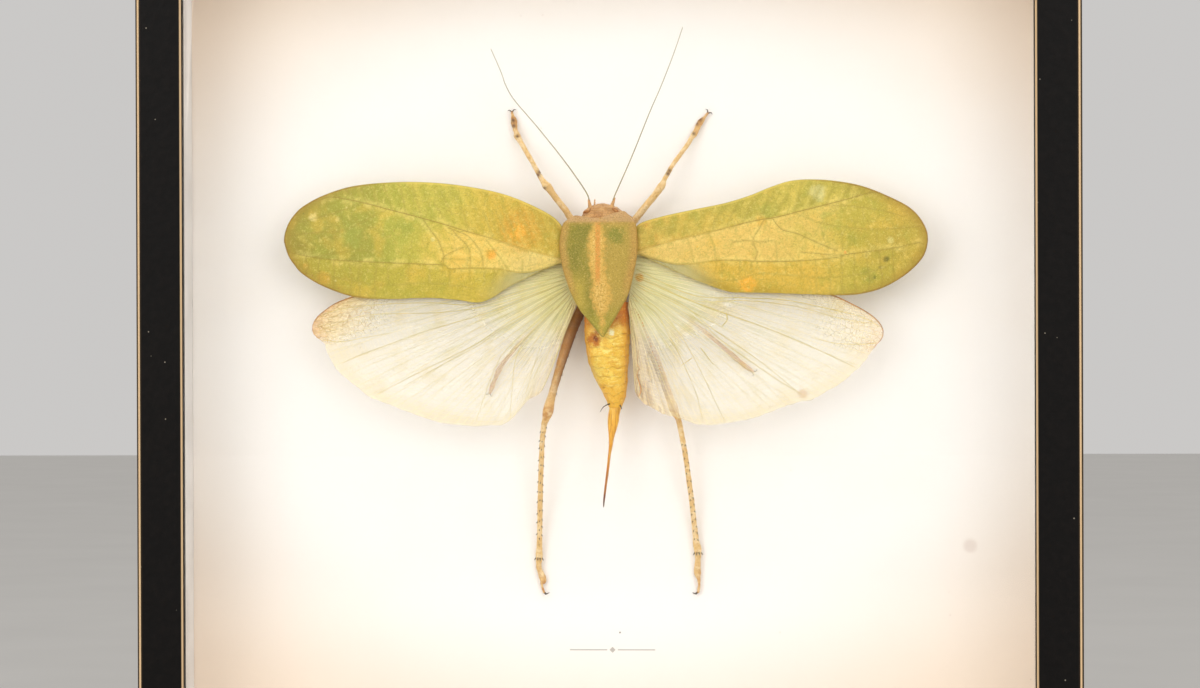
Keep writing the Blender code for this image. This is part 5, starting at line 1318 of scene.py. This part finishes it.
def shield(material):
    """The pronotum: granular dome with a raised border, side lobes and the chest under it."""
    sections, half_count, side_parts = 150, 44, 5
    rings, borders = [], []
    front_z = SHIELD[0][0]
    for z, left, right, crest, rim_y in smooth_line(SHIELD, sections):
        middle, half = (left + right) / 2, (right - left) / 2
        keep = max(0.0, 1 - (front_z - z) / BROW_DEPTH)
        ring, border = [], []
        for i in range(2 * half_count + 1):
            u = i / half_count - 1
            y = rim_y + (crest - rim_y) * max(0.0, 1 - u * u) ** 0.7
            x, up = middle + half * u, z + keep * brow_rise(u)
            inside = min(half * (1 - abs(u)), (front_z - z) * 1.3 + 0.4)
            rim_roll = ridge(inside - 0.9, 0.35, 0.7)
            keel = ridge(x - 0.2, 0.22, 0.5)
            grain = rough((x, 0, up), 0.55, 0.16) + rough((x, 4, up), 1.6, 0.16)
            grain += rough((x, 9, up), 5.0, 0.25)
            fade = min(1.0, inside * 2)
            ring.append(Vector((x, y - rim_roll - (keel + grain) * fade, up)))
            border.append(inside)
        below = []
        side = shield_side(z, half, rim_y)
        for (x0, y0), (x1, y1) in zip(side, side[1:]):
            for j in range(1, side_parts + 1):
                below.append((x0 + (x1 - x0) * j / side_parts, y0 + (y1 - y0) * j / side_parts))
        ring += [Vector((middle + x, y, z)) for x, y in below]
        ring += [Vector((middle - x, y, z)) for x, y in reversed(below[:-1])]
        border += [0.0] * (2 * len(below) - 1)
        rings.append(ring)
        borders.append(border)
    marks = {"rim": lambda i, j, point: borders[i][j % len(borders[i])]}
    bm = lofted(rings, marks)
    return finished(bm, "pronotum", material, ["pronotum"], crease=70)


def thorax(material):
    """The body behind the shield, with folds where the wings and hips join it."""
    rings = []
    for z, x, half, y, deep in smooth_line(THORAX, 60):
        ring = oval(Vector((x, y, z)), Vector((half, 0, 0)), Vector((0, deep, 0)), sides=72)
        middle = sum(ring, Vector()) / len(ring)
        row = []
        for p in ring:
            out = (p - middle).normalized()
            crease = 0.35 * math.sin(p.z * 1.3 + 2.0 * out.x) + rough(p, 2.2, 0.5)
            row.append(p + out * min(0.0, crease - 0.3))
        rings.append(row)
    marks = {"shade": lambda i, j, point: 0.0, "warm": lambda i, j, point: 0.0}
    return finished(lofted(rings, marks), "thorax", material, ["thorax"])


def abdomen(material, claw):
    """The ringed abdomen, its plates overlapping towards the tail, dried into creases."""
    count, sides = 190, 96
    rings, grooves = [], []
    for z, x, half, y, deep in smooth_line(ABDOMEN, count):
        ring, row = [], []
        for i in range(sides):
            angle = 2 * math.pi * i / sides
            out = Vector((math.cos(angle), math.sin(angle), 0))
            crook = rough((out.x * 2.2, out.y * 2.2, z * 0.15), 1.0, 1.5)
            level = z + RING_SAG * out.y * out.y + crook
            past = min((edge - level for edge in RING_EDGES if edge >= level), default=5.0)
            before = min((level - edge for edge in RING_EDGES if edge < level), default=5.0)
            # Each plate swells towards its edge, and the next one starts lower
            deepness = 0.5 + 0.5 * noise.noise(Vector((out.x * 4, out.y * 4, z * 0.4)))
            step = 0.12 * math.exp(-before / 1.1) - ridge(past, 0.24 * deepness, 0.4)
            wrinkle = rough((out.x * 3, out.y * 3, z * 0.35), 1.0, 0.24)
            wrinkle += rough((out.x * 6, out.y * 6, z * 1.3), 1.0, 0.13)
            side_fold = -ridge(abs(out.x) - 0.93, 0.3, 0.05)
            base = Vector((out.x * half, out.y * deep, 0))
            ring.append(Vector((x, y, z)) + base + out * (step + wrinkle + side_fold))
            row.append(ridge(past, deepness, 0.5))
        rings.append(ring)
        grooves.append(row)
    marks = {"groove": lambda i, j, point: grooves[i][j % sides]}
    finished(lofted(rings, marks), "abdomen", material, ["abdomen"], crease=80)
    for name, points in CERCI.items():
        stations = [(*point, 0.5 - 0.1 * i, 0.5 - 0.1 * i) for i, point in enumerate(points)]
        rings = limb_rings(stations, count=24, sides=12, lumps=0.08, lump_size=0.6)
        finished(lofted(rings), name, claw)


def add_form(bm, other):
    """Put a second closed form into a mesh."""
    spare = bpy.data.meshes.new("spare")
    other.to_mesh(spare)
    other.free()
    bm.from_mesh(spare)
    bpy.data.meshes.remove(spare)


def ovipositor(material):
    """The long egg-laying blade, grooved where its valves meet."""
    sides, rings = 36, []
    for z, x, half, y, deep in smooth_line(OVIPOSITOR, 130):
        middle = Vector((x, y, z))
        ring = []
        for i in range(sides):
            angle = 2 * math.pi * i / sides
            out = Vector((math.cos(angle), math.sin(angle), 0))
            seam = 1 - ridge(abs(math.sin(angle)) - 0.15, 0.16, 0.12)
            seam -= ridge(math.cos(angle), 0.1, 0.14)
            point = Vector((out.x * half, out.y * deep, 0)) * seam
            ring.append(middle + point + out * rough((out.x, out.y, z * 0.6), 1.0, 0.04))
        rings.append(ring)
    return finished(lofted(rings), "ovipositor", material, ["ovipositor"])


def wrinkles_near(point):
    """How open the skin is near a point of the head; folds are darker."""
    return 0.4 + noise.noise(Vector((point.x * 0.3, point.y * 0.3, point.z * 2.2))) * 0.6


def head(shell, eye):
    """The head capsule with its wrinkled brow, eyes, antenna sockets and palps."""
    bm = bmesh.new()
    bm.loops.layers.uv.new("surface")
    shade = bm.verts.layers.float.new("shade")
    bm.verts.layers.float.new("warm")
    bmesh.ops.create_icosphere(bm, subdivisions=6, radius=1.0)
    bmesh.ops.scale(bm, vec=HEAD_RADII, verts=bm.verts)
    bmesh.ops.translate(bm, verts=bm.verts, vec=HEAD_MIDDLE)
    bmesh.ops.bisect_plane(bm, geom=bm.verts[:] + bm.edges[:] + bm.faces[:], dist=1e-6,
                           plane_co=(0, 0, HEAD_CUT), plane_no=(0, 0, -1), clear_outer=True)
    bmesh.ops.holes_fill(bm, edges=[edge for edge in bm.edges if edge.is_boundary])
    for vert in bm.verts:
        p = vert.co
        if p.z > HEAD_CUT + 0.05:
            out = (p - Vector(HEAD_MIDDLE)).normalized()
            wrinkles = 0.12 * math.sin(p.z * 7 + rough(p, 2.6, 3.0)) + rough(p, 2.2, 0.3)
            vert.co = p + out * wrinkles
        vert[shade] = max(0.0, min(0.5, 0.4 - wrinkles_near(p)))
    for points in SOCKETS + PALPS:
        stations = [(*point, point[3]) for point in points]
        rings = limb_rings(stations, count=36, sides=18, lumps=0.1, lump_size=0.5)
        add_form(bm, lofted(rings))
    finished(bm, "head", shell, ["head"])
    for side, place, lean in zip(("left", "right"), EYES, (-EYE_LEAN, EYE_LEAN)):
        bm = bmesh.new()
        bmesh.ops.create_icosphere(bm, subdivisions=5, radius=EYE_RADIUS)
        bmesh.ops.scale(bm, vec=EYE_SHAPE, verts=bm.verts)
        for vert in bm.verts:
            vert.co *= 1 + rough(vert.co, 0.9, 0.14)
        turn = Matrix.Rotation(math.radians(lean), 4, "Y")
        bmesh.ops.transform(bm, matrix=Matrix.Translation(place) @ turn, verts=bm.verts)
        finished(bm, f"eye_{side}", eye)


def antenna(name, material):
    """A long thread of short ringed joints."""
    line = smooth_line(ANTENNAE[name], 420)
    rings = []
    for i, point in enumerate(line):
        s = i / (len(line) - 1)
        radius = ANTENNA_ROOT + (ANTENNA_TIP - ANTENNA_ROOT) * s
        # Past the first thick joint, every three rings swell and the next three are slim
        radius *= 1.0 + 0.14 * (1 if (i // 3) % 2 else -1) * (1 if i > 10 else 0)
        along = (line[min(i + 1, len(line) - 1)] - line[max(i - 1, 0)]).normalized()
        across = along.cross(TO_BOARD).normalized()
        rings.append(oval(point, across * radius, across.cross(along) * radius, 10))
    return finished(lofted(rings), name, material, [name])


def leg_marks(name, line):
    """Where a leg's skin is dark and where it is warm, as marks on its points."""
    hind, left = name.startswith("hind"), name.endswith("left")
    end = Vector(line[-1][:3])

    def shade(i, j, point):
        if not hind:
            return max((math.exp(-((point.x - x) ** 2 + (point.z - z) ** 2) / radius ** 2)
                        for x, z, radius in LEG_SPOTS.get(name, [])), default=0.0)
        # The thigh's side that faces the body is dark, on the right leg nearly right across, and
        # the dark fades towards the knee: partly the thigh's own red brown, partly painted shade.
        if not -40 < point.z < HIP_Z:
            return 0.0
        middle = line[min(i, len(line) - 1)]
        side = (point.x - middle[0]) / max(0.5, middle[3] / 2)
        dark = (side if left else -side) * 0.8 + (0.05 if left else 0.75)
        return max(0.0, min(1.0, dark)) * min(1.0, (point.z + 42) / 12)

    def warm(i, j, point):
        foot = max(0.0, 1 - (point - end).length / 13.0) * 0.9
        knee = ridge(point.z + 44.5, 0.9, 3.4) if hind else 0.0
        thigh = 0.8 * max(0.0, min(1.0, (point.z - KNEE_Z) / 26)) if hind else 0.0
        return max(thigh, min(1.0, max(foot, knee) * max(0.0, 0.6 + noise.noise(point * 0.7))))

    return {"shade": shade, "warm": warm}


def spine(line, i, share, lean, length, radius):
    """A spine on a limb, at a share of its half width from the middle, leaning to the foot."""
    point = Vector(line[i][:3])
    along = (Vector(line[i + 1][:3]) - point).normalized()
    across = along.cross(TO_BOARD).normalized()
    across *= 1 if across.x > 0 else -1
    out = across * share - TO_BOARD * math.sqrt(1 - share * share)
    foot = point + out * line[i][3] * 0.45
    tip = foot + (out + along * lean).normalized() * length
    return [(foot, radius), (foot.lerp(tip, 0.6), radius * 0.65), (tip, radius * 0.15)]


def hind_spines(name, line):
    """The spines of a hind leg: rows on the shin, a few on the thigh and four at the ankle."""
    spikes = []
    for share, first, last, pitch in SPINES[name]:
        travelled, goal = 0.0, 0.0
        for i in range(1, len(line) - 1):
            if not last < line[i][2] < first:
                continue
            travelled += (Vector(line[i][:3]) - Vector(line[i - 1][:3])).length
            if travelled >= goal:
                spikes.append(spine(line, i, share, 0.7, 0.9, 0.23))
                goal += pitch * (1 + 0.5 * noise.noise(Vector((goal, share, 4.5))))
    inner = 0.98 if name.endswith("left") else -0.98
    spikes += [spine(line, i, inner, 0.8, 0.8, 0.2)
               for i in range(60, 330, 34) if line[i][2] > KNEE_Z]
    ankle = min(range(len(line)), key=lambda i: abs(line[i][2] - ANKLE_Z[name]))
    spikes += [spine(line, ankle, share, 1.2, 1.3, 0.26) for share in (-0.95, -0.3, 0.35, 0.95)]
    return spikes


def claws(name, line):
    """The pair of hooked claws at a leg's foot."""
    end = Vector(line[-1][:3])
    heading = (end - Vector(line[-6][:3])).normalized()
    side = heading.cross(TO_BOARD).normalized()
    side *= 1 if side.x > 0 else -1
    sweep = CLAW_SWEEP.get(name, 0)
    pair = []
    for way in (-1, 1):
        turn = side * (sweep * 1.2 if sweep else way)
        spread = side * way * 0.3 + TO_BOARD * way * 0.25
        hook = [end - heading * 0.6, end + heading * 0.4 + turn * 0.6 + spread - TO_BOARD * 0.3,
                end + heading * 0.2 + turn * 1.4 + spread + TO_BOARD * 0.1]
        pair.append(tapered(hook, 0.34, 0.08, 14))
    return pair


def leg(name, shell, claw):
    """A leg from hip to foot, with its spines and claws."""
    count = 520 if name in SPINES else 360
    line = smooth_line(LEGS[name], count)
    rings = limb_rings(LEGS[name], count, sides=22, lumps=0.16, lump_size=0.8)
    finished(lofted(rings, leg_marks(name, line)), name, shell, [name])
    spikes = hind_spines(name, line) if name in SPINES else []
    return threads(name + "_spines", spikes + claws(name, line), claw, sides=1)


# Camera, light and floor

def camera():
    """A long lens almost square to the glass, at the photograph's viewing angle."""
    azimuth, elevation, roll = math.radians(3.0), math.radians(0.2), math.radians(0.2)
    distance, target = 1.3, Vector((-0.0024, -0.025, 0.1886))
    back = Vector((math.sin(azimuth) * math.cos(elevation), -math.cos(azimuth) * math.cos(elevation),
                   math.sin(elevation)))
    right = (-back).cross(Vector((0, 0, 1))).normalized()
    up = right.cross(-back)
    level = right * math.cos(roll) - up * math.sin(roll)
    upright = right * math.sin(roll) + up * math.cos(roll)
    made = bpy.data.objects.new("camera", bpy.data.cameras.new("camera"))
    bpy.context.scene.collection.objects.link(made)
    turn = Matrix((level, upright, back)).transposed().to_4x4()
    made.matrix_world = Matrix.Translation(target + back * distance) @ turn
    made.data.sensor_width = 36
    made.data.lens = 101.04
    made.data.clip_end = 50
    bpy.context.scene.camera = made


def lamp(name, place, aim, width, height, power):
    """A soft box that faces a point."""
    light = bpy.data.lights.new(name, "AREA")
    light.shape = "RECTANGLE"
    light.size = width
    light.size_y = height
    light.energy = power
    light.spread = math.radians(165)
    light.color = srgb("fffefc")[:3]
    made = bpy.data.objects.new(name, light)
    bpy.context.scene.collection.objects.link(made)
    made.location = place
    made.rotation_euler = (Vector(aim) - Vector(place)).to_track_quat("-Z", "Y").to_euler()


def pale_floor():
    """Plain pale floor paper, lying just under the frame."""
    made, tree, spot = begin("pale_floor")
    cloud = node(tree, "TexNoise", {"Vector": spot, "Scale": 0.01, "Detail": 2.0})
    # The floor's far end behind the camera is dim too, or the glass would mirror its edge
    y = node(tree, "SeparateXYZ", {0: spot}, out=1)
    colour = layered(tree, srgb("dcdad6"), ("d4d2ce", cloud), ("7d7c7a", (y, -900.0, -1500.0)))
    bm = bmesh.new()
    bmesh.ops.create_grid(bm, x_segments=8, y_segments=8, size=4.0)
    mesh = bpy.data.meshes.new("floor")
    bm.to_mesh(mesh)
    bm.free()
    mesh.materials.append(coat(made, colour, 0.8))
    floor = bpy.data.objects.new("floor", mesh)
    floor.location.z = -0.0005
    bpy.context.scene.collection.objects.link(floor)


def pale_tent():
    """A pale tent all round, but for the part behind the camera, which the glass would mirror."""
    world = bpy.data.worlds.new("studio")
    world.use_nodes = True
    tree = world.node_tree
    toward = node(tree, "SeparateXYZ", {0: node(tree, "TexCoord", out="Generated")}, out=1)
    light = node(tree, "MapRange", {0: toward, 1: -0.95, 2: -0.8, 3: 0.1, 4: 0.68})
    tree.links.new(light, tree.nodes["Background"].inputs["Strength"])
    tree.nodes["Background"].inputs["Color"].default_value = srgb("f0eeec")
    bpy.context.scene.world = world


def studio():
    """The floor, the tent, a broad soft box above the camera's side and one on either hand."""
    pale_floor()
    pale_tent()
    aim = (0.0, 0.0, 0.19)
    lamp("left_lamp", (-0.80, -1.25, 0.40), aim, 0.9, 0.9, 3.6)
    lamp("right_lamp", (0.72, -1.25, 0.40), aim, 0.9, 0.9, 3.6)
    lamp("top_lamp", (0.0, -1.25, 0.96), aim, 2.4, 0.8, 9.2)
    bpy.context.scene.view_settings.view_transform = "Standard"


def case(nodes):
    """The frame, glass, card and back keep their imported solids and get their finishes."""
    finishes = {
        "rail_": satin_black_paint(), "glass_": float_glass(), "spacer_": lining_card(),
        "mount_board": mount_board_paper(), "back_panel": hardboard_back(), "back_tab_": zinc_plate(),
        "mounting_pad": white_foam(),
    }
    finishes["hanger"] = finishes["back_tab_"]
    for name, part in nodes.items():
        for start, finish in finishes.items():
            if name.startswith(start):
                part.data.materials.clear()
                part.data.materials.append(finish)
    # A shadow of the pane would keep the lamps off the insect
    nodes["glass_pane"].visible_shadow = False


def insect():
    """The katydid's pieces, each in its own finish."""
    vein, net = wing_vein(), wing_net()
    for side in ("left", "right"):
        forewing(f"forewing_{side}", leaf_wing(side), vein, net)
    long_vein, fan, stain = hindwing_vein(), hindwing_net(), brown_stain()
    for side in ("left", "right"):
        hindwing(f"hindwing_{side}", wing_membrane(side), long_vein, fan, stain)
    shield(green_chitin())
    thorax(tan_chitin("thorax_chitin", "b9874a", "7a4f26", "d5a864"))
    claw = dark_claw()
    abdomen(amber_chitin(), claw)
    ovipositor(orange_blade_chitin())
    head(tan_chitin("head_chitin", "c4935a", "7b4c2a", "e2b67b"), eye_gloss())
    thread = tan_chitin("antenna_chitin", "8f8559", "655c38", "b0a377")
    for name in ANTENNAE:
        antenna(name, thread)
    pale_shell = tan_chitin("leg_chitin", "e8c07e", "94592a", "fae3b4")
    deep_shell = tan_chitin("middle_leg_chitin", "b4712e", "5f3718", "d29a54")
    for name in LEGS:
        leg(name, deep_shell if name.startswith("middle") else pale_shell, claw)


camera()
studio()
case(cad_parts)
insect()
